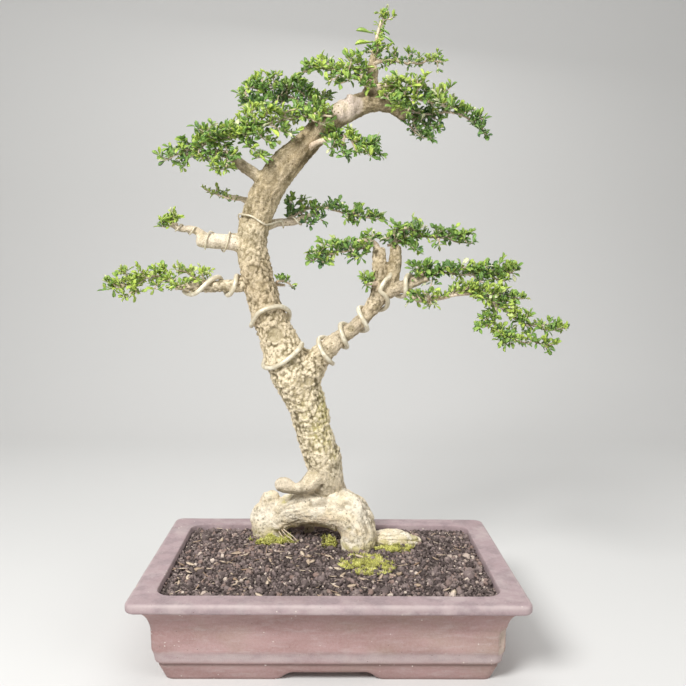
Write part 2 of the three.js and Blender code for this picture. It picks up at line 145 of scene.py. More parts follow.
def acrossFrom(along, guide):
    # two directions across a path: the guide made square to it, and along x that
    first = unit(guide - along * np.sum(along * guide, axis=-1, keepdims=True))
    return first, np.cross(along, first)


def gridFaces(rings, sides, start=0):
    # quads between closed rings, facing out where their points run right-handed along the path
    ring, side = np.meshgrid(np.arange(rings - 1), np.arange(sides), indexing="ij")
    a = start + ring * sides + side
    b = start + ring * sides + (side + 1) % sides
    return np.stack([a, b, b + sides, a + sides], -1).reshape(-1, 4)


def capFaces(sides, first, middle, outward):
    # triangles from a ring to the point in its middle
    k = np.arange(sides)
    fan = np.stack([first + k, first + (k + 1) % sides, np.full(sides, middle)], -1)
    return fan if outward else fan[:, ::-1]


def closedRings(rings):
    # a closed body through rings (n, sides, 3), each end closed to its middle
    count, sides, _ = rings.shape
    points = np.vstack([rings.reshape(-1, 3), rings[0].mean(0), rings[-1].mean(0)])
    last = count * sides
    faces = [gridFaces(count, sides), capFaces(sides, 0, last, False),
             capFaces(sides, last - sides, last + 1, True)]
    return points, faces


def tube(path, along, guide, radius, sides):
    # circles of this radius square to the path: centre + r (cos a first + sin a second)
    first, second = acrossFrom(along, guide)
    angle = np.arange(sides) * 2 * np.pi / sides
    radius = np.broadcast_to(radius, len(path))[:, None, None]
    cosine, sine = np.cos(angle)[:, None], np.sin(angle)[:, None]
    return closedRings(path[:, None] + radius * (cosine * first[:, None] + sine * second[:, None]))


def gather(bodies):
    # many (points, faces) as one
    points, threes, fours, start = [], [], [], 0
    for bodyPoints, bodyFaces in bodies:
        points.append(bodyPoints)
        for faces in bodyFaces:
            (fours if faces.shape[1] == 4 else threes).append(faces + start)
        start += len(bodyPoints)
    return np.vstack(points), [np.vstack(faces) for faces in (threes, fours) if faces]


def scattered(shape, shapeFaces, places, axes):
    # the same shape at each place: place + shape times its three axes
    points = places[:, None] + np.einsum("vi,nij->nvj", shape, axes)
    starts = np.arange(len(places))[:, None, None] * len(shape)
    faces = [(group[None] + starts).reshape(-1, group.shape[1]) for group in shapeFaces]
    return points.reshape(-1, 3), faces


def randomTurns(count, spread):
    # right-handed axes turned at random, the third straight up + spread times a random step
    third = unit(rng.normal(size=(count, 3)) * spread + up)
    first, second = acrossFrom(third, rng.normal(size=(count, 3)))
    return np.stack([first, second, third], axis=1)


def normalsOf(points, faces):
    # the unit sum of the normals of the faces round each point
    total = np.zeros_like(points)
    for group in faces:
        corners = points[group]
        if group.shape[1] == 4:
            normal = np.cross(corners[:, 2] - corners[:, 0], corners[:, 3] - corners[:, 1])
        else:
            normal = np.cross(corners[:, 1] - corners[:, 0], corners[:, 2] - corners[:, 0])
        for axis in range(3):
            weight = np.repeat(normal[:, axis], group.shape[1])
            total[:, axis] += np.bincount(group.ravel(), weight, len(points))
    return unit(total)


def toFrame(points):
    # millimetres from the middle of the pot to metres in the frame
    return np.asarray(points) / 1000 + potMiddle


def meshOf(name, points, faces, smooth=True, marks=None, uv=None):
    # marks are numbers at the points, read by name in the materials
    mesh = bpy.data.meshes.new(name)
    mesh.vertices.add(len(points))
    mesh.vertices.foreach_set("co", toFrame(points).ravel())
    corners = np.concatenate([group.ravel() for group in faces]).astype(np.int32)
    sizes = np.concatenate([np.full(len(group), group.shape[1]) for group in faces])
    starts = np.concatenate([[0], np.cumsum(sizes)[:-1]]).astype(np.int32)
    mesh.loops.add(len(corners))
    mesh.loops.foreach_set("vertex_index", corners)
    mesh.polygons.add(len(sizes))
    mesh.polygons.foreach_set("loop_start", starts)
    mesh.polygons.foreach_set("use_smooth", np.full(len(sizes), smooth))
    for label, values in (marks or {}).items():
        attribute = mesh.attributes.new(label, "FLOAT", "POINT")
        attribute.data.foreach_set("value", values.astype(np.float32))
    if uv is not None:
        layer = mesh.uv_layers.new(name="UVMap")
        layer.uv.foreach_set("vector", uv[corners].astype(np.float32).ravel())
    mesh.update(calc_edges=True)
    return mesh


def placed(name, data):
    # an object of this data, in the scene
    thing = bpy.data.objects.new(name, data)
    bpy.context.scene.collection.objects.link(thing)
    return thing


def addPiece(name, mesh, material, replaced=()):
    piece = placed(name, mesh)
    mesh.materials.append(material)
    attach(piece, "root")
    if replaced:
        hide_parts(*replaced)
    return piece


def finished(name, points, faces, change):
    # a modifier's result as plain arrays again
    holder = placed(name, meshOf(name, points, faces))
    change(holder)
    changed = holder.evaluated_get(bpy.context.evaluated_depsgraph_get())
    result = bpy.data.meshes.new_from_object(changed)
    points = np.empty(len(result.vertices) * 3)
    result.vertices.foreach_get("co", points)
    corners = np.empty(len(result.loops), np.int32)
    result.loops.foreach_get("vertex_index", corners)
    sizes = np.empty(len(result.polygons), np.int32)
    result.polygons.foreach_get("loop_total", sizes)
    starts = np.concatenate([[0], np.cumsum(sizes)[:-1]])
    faces = [corners[starts[sizes == n][:, None] + np.arange(n)] for n in np.unique(sizes)]
    bpy.data.objects.remove(holder)
    bpy.data.meshes.remove(result)
    return (points.reshape(-1, 3) - potMiddle) * 1000, faces


def fused(name, bodies, pitch):
    # overlapping closed bodies become one skin, in squares about a pitch across
    def remesh(holder):
        skin = holder.modifiers.new("skin", "REMESH")
        skin.mode = "VOXEL"
        skin.voxel_size = pitch / 1000
    return finished(name, *gather(bodies), remesh)


def setInputs(tree, node, inputs):
    # an input is a value or another node's output
    for name, value in inputs.items():
        if isinstance(value, bpy.types.NodeSocket):
            tree.links.new(value, node.inputs[name])
        else:
            node.inputs[name].default_value = value
    return node


def put(tree, kind, inputs=None, **settings):
    node = tree.nodes.new(kind)
    for name, value in settings.items():
        setattr(node, name, value)
    return setInputs(tree, node, inputs or {})


def colour(red, green, blue):
    return (red, green, blue, 1.0)


def mixed(tree, share, first, second, way="MIX"):
    # the first colour where share is 0, the second where it is 1
    inputs = {0: share, 6: first, 7: second}
    return put(tree, "ShaderNodeMix", inputs, data_type="RGBA", blend_type=way).outputs[2]


def maths(tree, operation, first, second=0.0):
    return put(tree, "ShaderNodeMath", {0: first, 1: second}, operation=operation).outputs[0]


def between(tree, value, low, high, out=(0.0, 1.0)):
    # 3t^2 - 2t^3 from the first of out at low to the second at high
    inputs = {"Value": value, "From Min": low, "From Max": high, "To Min": out[0], "To Max": out[1]}
    return put(tree, "ShaderNodeMapRange", inputs, interpolation_type="SMOOTHSTEP").outputs[0]


def mark(tree, name):
    return put(tree, "ShaderNodeAttribute", attribute_name=name).outputs["Fac"]


def newGroup(name, inputs, output):
    group = bpy.data.node_groups.new(name, "ShaderNodeTree")
    for socket, value in inputs.items():
        added = group.interface.new_socket(name=socket, in_out="INPUT", socket_type="NodeSocketFloat")
        added.default_value = value
    group.interface.new_socket(name=output, in_out="OUTPUT", socket_type="NodeSocketFloat")
    given = group.nodes.new("NodeGroupInput").outputs
    return group, given, group.nodes.new("NodeGroupOutput").inputs[output]


def makePatches():
    # soft patches: noise of this many per metre, stretched along Z, cut between two levels
    levels = {"Scale": 60, "Flatten": 1, "Detail": 4, "Low": 0.4, "High": 0.6}
    group, given, result = newGroup("patches", levels, "Mask")
    place = put(group, "ShaderNodeTexCoord").outputs["Object"]
    stretch = {"X": 1.0, "Y": 1.0, "Z": given["Flatten"]}
    stretch = put(group, "ShaderNodeCombineXYZ", stretch).outputs[0]
    place = put(group, "ShaderNodeVectorMath", {0: place, 1: stretch}, operation="MULTIPLY").outputs[0]
    inputs = {"Vector": place, "Scale": given["Scale"], "Detail": given["Detail"], "Roughness": 0.6}
    noise = put(group, "ShaderNodeTexNoise", inputs).outputs[0]
    group.links.new(between(group, noise, given["Low"], given["High"]), result)
    return group


def makeSpecks():
    # small dots: cells of this many per metre, a share of them with a dot of this size in cell sides
    group, given, result = newGroup("specks", {"Scale": 200, "Size": 0.15, "Share": 0.3}, "Mask")
    place = put(group, "ShaderNodeTexCoord").outputs["Object"]
    cell = put(group, "ShaderNodeTexVoronoi", {"Vector": place, "Scale": given["Scale"]})
    dot = maths(group, "LESS_THAN", cell.outputs["Distance"], given["Size"])
    chosen = put(group, "ShaderNodeSeparateColor", {0: cell.outputs["Color"]}).outputs[0]
    chosen = maths(group, "LESS_THAN", chosen, given["Share"])
    group.links.new(maths(group, "MULTIPLY", dot, chosen), result)
    return group


def makeGrain():
    # a rough skin: fine noise with small pits in it, as a height
    group, given, result = newGroup("grain", {"Scale": 900, "Pits": 0.5}, "Height")
    place = put(group, "ShaderNodeTexCoord").outputs["Object"]
    inputs = {"Vector": place, "Scale": given["Scale"], "Detail": 5.0, "Roughness": 0.65}
    noise = put(group, "ShaderNodeTexNoise", inputs).outputs[0]
    pitScale = maths(group, "MULTIPLY", given["Scale"], 0.6)
    pit = put(group, "ShaderNodeTexVoronoi", {"Vector": place, "Scale": pitScale}).outputs["Distance"]
    pit = maths(group, "MULTIPLY", between(group, pit, 0.0, 0.45, (1.0, 0.0)), given["Pits"])
    group.links.new(maths(group, "SUBTRACT", noise, pit), result)
    return group


patches, specks, grain = makePatches(), makeSpecks(), makeGrain()


def use(tree, group, **inputs):
    return setInputs(tree, put(tree, "ShaderNodeGroup", node_tree=group), inputs).outputs[0]


def wash(tree, base, tint, share, where=None, **spots):
    # a tint over the base: share x the mark named by where x the patches
    amount = share
    if where:
        amount = maths(tree, "MULTIPLY", mark(tree, where), amount)
    if spots:
        amount = maths(tree, "MULTIPLY", use(tree, patches, **spots), amount)
    return mixed(tree, amount, base, tint)


def dots(tree, base, tint, scale, size, share):
    return mixed(tree, use(tree, specks, Scale=scale, Size=size, Share=share), base, tint)


def newMaterial(name, **shading):
    # a Principled shader with plain values, as its tree and the shader
    material = bpy.data.materials.new(name)
    material.use_nodes = True
    shader = material.node_tree.nodes["Principled BSDF"]
    for socket, value in shading.items():
        shader.inputs[socket.replace("_", " ")].default_value = value
    return material, material.node_tree, shader


def bump(tree, shader, height, depth):
    # depth in millimetres
    node = put(tree, "ShaderNodeBump", {"Height": height, "Distance": depth / 1000, "Strength": 1.0})
    tree.links.new(node.outputs[0], shader.inputs["Normal"])


def dress(tree, shader, base, roughness=None, scale=0, pits=0.0, depth=0.0):
    # the colour; the roughness where it varies; a rough skin of this depth in millimetres
    tree.links.new(base, shader.inputs["Base Color"])
    if roughness:
        tree.links.new(roughness, shader.inputs["Roughness"])
    if scale:
        bump(tree, shader, use(tree, grain, Scale=scale, Pits=pits), depth)


def makeStoneware():
    look = dict(body=colour(0.325, 0.20, 0.187), pale=colour(0.415, 0.27, 0.26), rim=colour(0.36, 0.275, 0.288),
                dust=colour(0.52, 0.44, 0.425), speck=colour(0.62, 0.55, 0.50), stain=colour(0.17, 0.115, 0.10),
                sallow=colour(0.33, 0.27, 0.20), broken=colour(0.46, 0.37, 0.31),
                mauve=colour(0.225, 0.175, 0.185))
    material, tree, shader = newMaterial("stoneware", Specular_IOR_Level=0.3)
    base = wash(tree, look["body"], look["pale"], 1, Scale=16, Flatten=3.5, Detail=6, Low=0.35, High=0.7)
    base = wash(tree, base, look["sallow"], 0.45, Scale=9, Flatten=1.6, Low=0.5, High=0.72)
    base = wash(tree, base, look["rim"], 0.85, "rim")
    base = wash(tree, base, look["stain"], 0.22, Scale=24, Flatten=6, Detail=6, Low=0.45, High=0.75)
    base = wash(tree, base, look["dust"], 0.26, Scale=46, Flatten=4, Detail=6, Low=0.5, High=0.7)
    # the rim: darker clouds, then a bloom of dust
    base = wash(tree, base, look["mauve"], 0.5, "rim", Scale=58, Detail=7, Low=0.46, High=0.62)
    base = wash(tree, base, look["dust"], 0.38, "rim", Scale=34, Flatten=1.5, Detail=7, Low=0.5, High=0.68)
    base = wash(tree, base, look["dust"], 0.16, Scale=420, Detail=3, Low=0.35, High=0.7)
    base = wash(tree, base, look["dust"], 0.6, "wear", Scale=55, Flatten=2, Detail=6, Low=0.2, High=0.6)
    # painted shade: the groove round the foot is darkened with the stain colour
    base = wash(tree, base, look["stain"], 0.6, "groove")
    base = wash(tree, base, look["broken"], 1, "chip")
    for tint, *given in (["speck", 80, 0.07, 0.3], ["speck", 240, 0.14, 0.07], ["stain", 330, 0.13, 0.06]):
        base = dots(tree, base, look[tint], *given)
    rough = use(tree, patches, Scale=50, Flatten=2, Low=0.3, High=0.7)
    dress(tree, shader, base, between(tree, rough, 0, 1, (0.66, 0.86)), scale=1100, pits=0.35, depth=0.22)
    return material


def makeBark():
    look = dict(olive=colour(0.27, 0.225, 0.12), tan=colour(0.62, 0.52, 0.33), cream=colour(0.94, 0.82, 0.60),
                crack=colour(0.11, 0.086, 0.046), bare=colour(0.87, 0.76, 0.62), pink=colour(0.72, 0.60, 0.51),
                scar=colour(0.36, 0.31, 0.18), algae=colour(0.56, 0.50, 0.17), spot=colour(0.2, 0.155, 0.08),
                dusk=colour(0.58, 0.52, 0.46))
    material, tree, shader = newMaterial("bark", Roughness=0.85, Specular_IOR_Level=0.25)
    algae = dict(where="algae", Scale=60, Flatten=0.5, Detail=6, Low=0.3, High=0.62)
    base = wash(tree, look["olive"], look["tan"], 1, Scale=70, Detail=6, Low=0.38, High=0.62)
    base = wash(tree, base, look["algae"], 0.7, **algae)
    base = wash(tree, base, look["cream"], 1, "knob")
    base = wash(tree, base, look["algae"], 0.3, **algae)
    base = wash(tree, base, look["cream"], 0.6, Scale=330, Detail=5, Low=0.48, High=0.64)
    base = wash(tree, base, look["bare"], 1, "bare", Scale=60, Detail=5, Low=0.2, High=0.55)
    base = wash(tree, base, look["pink"], 1, "cut", Scale=90, Detail=5, Low=0.15, High=0.6)
    # dark fissures, and painted shade in the hollows in the same colour
    base = wash(tree, base, look["crack"], 1, "fissureAndShade")
    base = wash(tree, base, look["scar"], 0.7, "scar")
    base = wash(tree, base, look["spot"], 0.32, Scale=700, Low=0.46, High=0.62)
    base = dots(tree, base, look["spot"], 240, 0.2, 0.16)
    # painted shade: the shade mark darkens the bark towards the dusk colour, most under the crown
    base = mixed(tree, mark(tree, "shade"), base, look["dusk"], "MULTIPLY")
    dress(tree, shader, base, scale=800, pits=0.8, depth=0.8)
    return material


def makeTwigBark():
    look = dict(young=colour(0.50, 0.38, 0.26), old=colour(0.76, 0.64, 0.49), dark=colour(0.14, 0.10, 0.055))
    material, tree, shader = newMaterial("twigBark", Roughness=0.8, Specular_IOR_Level=0.3)
    base = wash(tree, look["young"], look["old"], 1, Scale=120, Low=0.35, High=0.62)
    base = wash(tree, base, look["dark"], 0.6, Scale=500, Low=0.5, High=0.7)
    dress(tree, shader, base, scale=1600, pits=0.4, depth=0.25)
    return material


def makeLimestone():
    look = dict(cream=colour(0.76, 0.66, 0.48), white=colour(0.88, 0.80, 0.65), ochre=colour(0.66, 0.50, 0.28),
                pink=colour(0.72, 0.52, 0.42), shade=colour(0.26, 0.205, 0.13), grey=colour(0.29, 0.26, 0.18),
                moss=colour(0.50, 0.44, 0.19), soil=colour(0.24, 0.175, 0.12))
    material, tree, shader = newMaterial("limestone", Roughness=0.88, Specular_IOR_Level=0.25)
    base = wash(tree, look["cream"], look["white"], 1, Scale=55, Detail=6, Low=0.38, High=0.62)
    base = wash(tree, base, look["ochre"], 0.5, Scale=34, Flatten=1.5, Detail=5, Low=0.5, High=0.68)
    base = wash(tree, base, look["pink"], 0.4, Scale=48, Detail=5, Low=0.56, High=0.7)
    base = wash(tree, base, look["shade"], 0.7, "layer")
    base = wash(tree, base, look["grey"], 0.85, "pit")
    base = dots(tree, base, look["grey"], 230, 0.2, 0.14)
    base = wash(tree, base, look["shade"], 0.5, Scale=420, Detail=5, Low=0.52, High=0.66)
    base = wash(tree, base, look["grey"], 0.3, Scale=160, Detail=6, Low=0.55, High=0.68)
    base = wash(tree, base, look["moss"], 1, "damp", Scale=120, Detail=6, Low=0.42, High=0.6)
    base = wash(tree, base, look["soil"], 1, "soiled")
    dress(tree, shader, base, scale=700, pits=0.7, depth=0.7)
    return material


def makeLeaf():
    look = dict(deep=colour(0.05, 0.15, 0.055), mid=colour(0.19, 0.37, 0.06), young=colour(0.60, 0.76, 0.11),
                bud=colour(0.88, 0.86, 0.60), rib=colour(0.46, 0.56, 0.22), ribWidth=0.07, veins=44.0,
                veinLean=-38.0)
    shading = dict(Specular_IOR_Level=0.5, Coat_Weight=0.2, Coat_Roughness=0.3)
    material, tree, shader = newMaterial("leaf", **shading)
    base = look["deep"]
    for tint, low, high in (("mid", 0.0, 0.5), ("young", 0.5, 1.0), ("bud", 1.0, 1.4)):
        base = mixed(tree, between(tree, mark(tree, "tone"), low, high), base, look[tint])
    # the rib runs up the middle, the veins lean off it: sin(veins x + veinLean |y - 1/2|)
    place = put(tree, "ShaderNodeUVMap", uv_map="UVMap").outputs[0]
    place = put(tree, "ShaderNodeSeparateXYZ", {0: place})
    fromRib = maths(tree, "ABSOLUTE", maths(tree, "SUBTRACT", place.outputs["Y"], 0.5))
    base = mixed(tree, between(tree, fromRib, 0.0, look["ribWidth"], (0.7, 0.0)), base, look["rib"])
    run = maths(tree, "MULTIPLY", place.outputs["X"], look["veins"])
    vein = maths(tree, "SINE", maths(tree, "ADD", run, maths(tree, "MULTIPLY", fromRib, look["veinLean"])))
    base = mixed(tree, between(tree, vein, 0.75, 1.0, (0.0, 0.35)), base, look["rib"])
    blotch = use(tree, patches, Scale=260, Detail=3, Low=0.45, High=0.7)
    base = mixed(tree, maths(tree, "MULTIPLY", blotch, 0.25), base, look["deep"])
    dress(tree, shader, base, between(tree, blotch, 0, 1, (0.3, 0.48)))
    bump(tree, shader, vein, 0.12)
    return material


def makeMoss():
    look = dict(dark=colour(0.17, 0.15, 0.06), green=colour(0.58, 0.57, 0.13), bright=colour(0.97, 0.94, 0.40))
    material, tree, shader = newMaterial("moss", Roughness=0.9, Specular_IOR_Level=0.2)
    base = mixed(tree, between(tree, mark(tree, "tone"), 0.0, 0.6), look["dark"], look["green"])
    base = mixed(tree, between(tree, mark(tree, "tone"), 0.6, 1.0), base, look["bright"])
    base = wash(tree, base, look["dark"], 0.5, Scale=130, Low=0.5, High=0.66)
    dress(tree, shader, base)
    return material


def makeSoilGrain():
    look = dict(dark=colour(0.07, 0.052, 0.048), grey=colour(0.215, 0.165, 0.155),
                brown=colour(0.27, 0.185, 0.155), tan=colour(0.60, 0.50, 0.42))
    material, tree, shader = newMaterial("soilGrain", Roughness=0.9, Specular_IOR_Level=0.3)
    base = look["dark"]
    for tint, low, high in (("grey", 0.0, 0.55), ("brown", 0.6, 0.8), ("tan", 0.88, 1.0)):
        base = mixed(tree, between(tree, mark(tree, "tone"), low, high), base, look[tint])
    base = wash(tree, base, look["tan"], 0.4, Scale=300, Detail=5, Low=0.52, High=0.7)
    dress(tree, shader, base, scale=1500, pits=0.8, depth=0.3)
    return material


def makeBarkChip():
    look = dict(straw=colour(0.72, 0.60, 0.46), brown=colour(0.30, 0.20, 0.13))
    material, tree, shader = newMaterial("barkChip", Roughness=0.85, Specular_IOR_Level=0.25)
    base = wash(tree, look["brown"], look["straw"], 1, "tone")
    base = wash(tree, base, look["brown"], 0.5, Scale=700, Low=0.4, High=0.65)
    dress(tree, shader, base, scale=1800, pits=0.3, depth=0.2)
    return material


def makeWireSkin():
    look = dict(skin=colour(0.60, 0.53, 0.385), rubbed=colour(0.80, 0.745, 0.59),
                grime=colour(0.30, 0.24, 0.16))
    material, tree, shader = newMaterial("wireSkin", Metallic=0.2)
    base = wash(tree, look["skin"], look["rubbed"], 1, Scale=110, Detail=5, Low=0.45, High=0.65)
    stain = use(tree, patches, Scale=260, Detail=5, Low=0.55, High=0.72)
    base = mixed(tree, maths(tree, "MULTIPLY", stain, 0.5), base, look["grime"])
    dress(tree, shader, base, between(tree, stain, 0, 1, (0.46, 0.66)), scale=1400, pits=0.15, depth=0.06)
    return material


def makePlastic():
    look = dict(black=colour(0.018, 0.018, 0.016), dust=colour(0.12, 0.10, 0.085))
    material, tree, shader = newMaterial("meshPlastic", Roughness=0.55)
    base = wash(tree, look["black"], look["dust"], 1, Scale=300, Detail=5, Low=0.5, High=0.7)
    dress(tree, shader, base, scale=1500, pits=0.2, depth=0.08)
    return material


def makeStapleMetal():
    look = dict(bright=colour(0.62, 0.60, 0.56), dull=colour(0.34, 0.31, 0.27))
    material, tree, shader = newMaterial("stapleMetal", Metallic=1.0)
    dull = use(tree, patches, Scale=350, Low=0.4, High=0.65)
    base = mixed(tree, dull, look["bright"], look["dull"])
    dress(tree, shader, base, between(tree, dull, 0, 1, (0.3, 0.55)))
    return material


print("materials")
materials = dict(
    stoneware=makeStoneware(), bark=makeBark(), twig=makeTwigBark(), stone=makeLimestone(), leaf=makeLeaf(),
    moss=makeMoss(), soil=makeSoilGrain(), chip=makeBarkChip(), wire=makeWireSkin(), plastic=makePlastic(),
    staple=makeStapleMetal(),
)

pot = dict(
    cornerSteps=12, stepLong=4.0,
    corner=9, innerCorner=16, rimWidth=22, rimThickness=9, rimRound=3,
    coveDrop=22, waist=18, bead=25, groove=16, grooveDepth=2.5,
    foot=29, footRise=8, footWidth=16, footSlope=12, frontGap=94, sideGap=70,
    wall=9, floor=9, fillet=8, innerLip=1.3,
    drainSpacing=150, drainRadius=12, drainSides=40,
    # hand-made unevenness: height and size of broad waves, then of small ones
    uneven=[[0.35, 38, 3], [0.09, 4, 9]],
    # breaks: x, y, z, reach, depth
    breaks=[[162, -108, 43, 13, 6.5], [158, -107, 30, 8, 2.5], [-178, -80, 79, 4, 0.7], [-40, 123, 79, 5, 0.7]],
)


def roundedRings(inset, corner, heights):
    # rounded rectangles set in from the rim's outline: the corner's middle plus the corner's radius
    steps = pot["cornerSteps"]
    alongX = int(2 * halfLength / pot["stepLong"])
    alongY = int(2 * halfDepth / pot["stepLong"])
    signX, signY, angle = [], [], []
    quarters = [(1, 1, -1, 1, alongX), (-1, 1, -1, -1, alongY), (-1, -1, 1, -1, alongX), (1, -1, 1, 1, alongY)]
    for quarter, (x, y, nextX, nextY, count) in enumerate(quarters):
        turn = (quarter + np.linspace(0, 1, steps + 1)) * np.pi / 2
        share = np.linspace(0, 1, count + 1)[1:-1]
        signX += [np.full(steps + 1, x), x + (nextX - x) * share]
        signY += [np.full(steps + 1, y), y + (nextY - y) * share]
        angle += [turn, np.full(count - 1, turn[-1])]
    signX, signY, angle = (np.concatenate(part) for part in (signX, signY, angle))
    inset, corner, heights = (np.asarray(part, float)[:, None] for part in (inset, corner, heights))
    x = signX * (halfLength - inset - corner) + corner * np.cos(angle)
    y = signY * (halfDepth - inset - corner) + corner * np.sin(angle)
    return np.stack([x, y, np.broadcast_to(heights, x.shape)], -1)


def bent(start, middle, end, count):
    # a quadratic curve: (1 - t)^2 start + 2t(1 - t) middle + t^2 end
    t = np.linspace(0, 1, count)[:, None]
    start, middle, end = (np.array(point, float) for point in (start, middle, end))
    return (1 - t) ** 2 * start + 2 * t * (1 - t) * middle + t**2 * end


def straight(start, end, pace=2.5):
    # start + t (end - start), in steps of about the pace
    start, end = np.array(start, float), np.array(end, float)
    count = max(2, int(np.linalg.norm(end - start) / pace) + 1)
    return start + (end - start) * np.linspace(0, 1, count)[:, None]


def potOutside():
    # distance in from the rim's edge and height, from the ground to the inner edge of the rim
    waist, groove, bead, curve = pot["waist"], pot["groove"], pot["bead"], pot["rimRound"]
    under = rimTop - pot["rimThickness"]
    coveFoot = under - pot["coveDrop"]
    ledge = waist + pot["grooveDepth"]
    deep = ledge + pot["grooveDepth"] + 1
    return np.vstack([
        straight([pot["foot"], 0], [deep, groove - pot["grooveDepth"]]),
        straight([deep, groove - 1.5], [deep, groove], 1),
        straight([deep - 0.6, groove + 0.4], [ledge + 1, groove + pot["grooveDepth"]], 1),
        bent([ledge + 0.6, groove + 3.5], [ledge, bead], [waist + 1, bead + 4], 7),
        straight([waist + 0.6, bead + 6], [waist, coveFoot], 2),
        bent([waist - 0.3, coveFoot + 1], [waist - 3, under - 5], [curve + 0.6, under - 0.2], 12),
        bent([curve, under], [0, under], [0, under + curve], 6),
        straight([0, under + curve + 1], [0, rimTop - curve - 0.6], 1.2),
        bent([0, rimTop - curve], [0, rimTop], [curve, rimTop], 7),
        straight([curve + 1, rimTop], [pot["rimWidth"] - 1.2, rimTop], 2.2),
    ])


def potInside():
    # on from there, down to the middle of the floor
    rim, under, fillet = pot["rimWidth"], rimTop - pot["rimThickness"], pot["fillet"]
    hollow, floorTop = pot["waist"] + pot["wall"], pot["footRise"] + pot["floor"]
    return np.vstack([
        bent([rim - 0.8, rimTop], [rim + 0.3, rimTop], [rim + 0.6, rimTop - 1.4], 5),
        straight([rim + 0.8, rimTop - 3], [rim + 1, under], 2),
        straight([rim + pot["innerLip"], under - 2], [hollow, floorTop + fillet], 4),
        bent([hollow, floorTop + fillet - 1], [hollow, floorTop], [hollow + fillet, floorTop], 5),
        straight([hollow + fillet + 6, floorTop], [halfDepth - 5, floorTop], 12),
    ])


def potUnder():
    # from the middle of the underside out to the foot's outer edge
    inner, rise = pot["foot"] + pot["footWidth"], pot["footRise"]
    return np.vstack([
        straight([halfDepth - 5, rise], [inner + 3, rise], 12),
        straight([inner, rise], [inner, 0.6], 2),
        straight([inner - 0.7, 0], [pot["foot"] + 1, 0], 4),
    ])


def makePot():
    s = pot
    outside, inside = np.vstack([potUnder(), potOutside()]), potInside()
    inset, heights = np.vstack([outside, inside]).T
    # the corners are sharper outside than inside
    corner = np.repeat([float(s["corner"]), s["innerCorner"]], [len(outside), len(inside)])
    corner = np.minimum(corner, halfDepth - inset - 0.5)
    rings = roundedRings(inset, corner, heights)
    x, y, z = rings[..., 0], rings[..., 1], rings[..., 2]
    # feet: the lowest edge is lifted between them, with sloping ends
    frontFace = np.abs(y) > halfDepth - s["foot"] - s["footWidth"] - 1
    sideFace = np.abs(x) > halfLength - s["foot"] - s["footWidth"] - 1
    liftFront = np.clip((s["frontGap"] / 2 - np.abs(x)) / s["footSlope"], 0, 1) * frontFace
    liftSide = np.clip((s["sideGap"] / 2 - np.abs(y)) / s["footSlope"], 0, 1) * sideFace
    lift = np.maximum(liftFront, liftSide) * s["footRise"]
    rings[..., 2] = np.where(z < s["footRise"], np.maximum(z, lift), z)
    points, faces = closedRings(rings)

    def drill(holder):
        drills = []
        for side in (-1, 1):
            path = np.array([[side * s["drainSpacing"] / 2, 0, height] for height in (-5, 12, 40)], float)
            upwards = np.repeat(up[None], 3, 0)
            drills.append(tube(path, upwards, np.array([1.0, 0, 0]), s["drainRadius"], s["drainSides"]))
        bit = placed("drills", meshOf("drills", *gather(drills)))
        hole = holder.modifiers.new("drains", "BOOLEAN")
        hole.operation, hole.solver, hole.object = "DIFFERENCE", "EXACT", bit

    points, faces = finished("potBody", points, faces, drill)
    bpy.data.objects.remove(bpy.data.objects["drills"])
    normal = normalsOf(points, faces)
    # the unevenness, then the broken places
    height = sum(high * layeredWaves(points, size, seed) for high, size, seed in s["uneven"])
    chip = np.zeros(len(points))
    for bx, by, bz, reach, depth in s["breaks"]:
        away = np.linalg.norm(points - [bx, by, bz], axis=1) / reach
        away = away + 0.22 * layeredWaves(points, 6, 17)
        dent = 1 - ramp(away, 0.45, 1.0)
        height -= depth * dent * (0.8 + 0.35 * layeredWaves(points, 3, 23))
        chip = np.maximum(chip, ramp(dent, 0.05, 0.3))
    points = points + normal * height[:, None]
    points[:, 2] = np.maximum(points[:, 2], 0)
    z = points[:, 2]
    rim = ramp(z, rimTop - s["rimThickness"] - 1, rimTop - s["rimThickness"] + 1)
    edge = np.maximum(np.abs(points[:, 0]) - halfLength, np.abs(points[:, 1]) - halfDepth)
    wear = rim * ramp(edge, -4, -0.5) * ramp(z, rimTop - 6, rimTop - 1)
    ledge = ramp(z, s["groove"] + 2, s["groove"] + 5) * (1 - ramp(z, s["bead"] + 1, s["bead"] + 6))
    # groove: the band of the groove round the foot, painted darker as shade in the stoneware
    groove = ramp(z, s["groove"] - 4, s["groove"] - 1) * (1 - ramp(z, s["groove"] + 1, s["groove"] + 2.4))
    rim, wear = np.maximum(rim, 0.7 * ledge), np.maximum(wear, 0.75 * ledge)
    marks = dict(rim=rim, wear=wear, groove=groove, chip=chip)
    mesh = meshOf("potBody", points, faces, marks=marks)
    addPiece("potBody", mesh, materials["stoneware"], ["pot"])


print("pot")
makePot()
for side in ("left", "right"):
    for node, material in ((f"drain_mesh_{side}", "plastic"), (f"mesh_wire_{side}", "staple")):
        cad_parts[node].data.materials.clear()
        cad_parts[node].data.materials.append(materials[material])


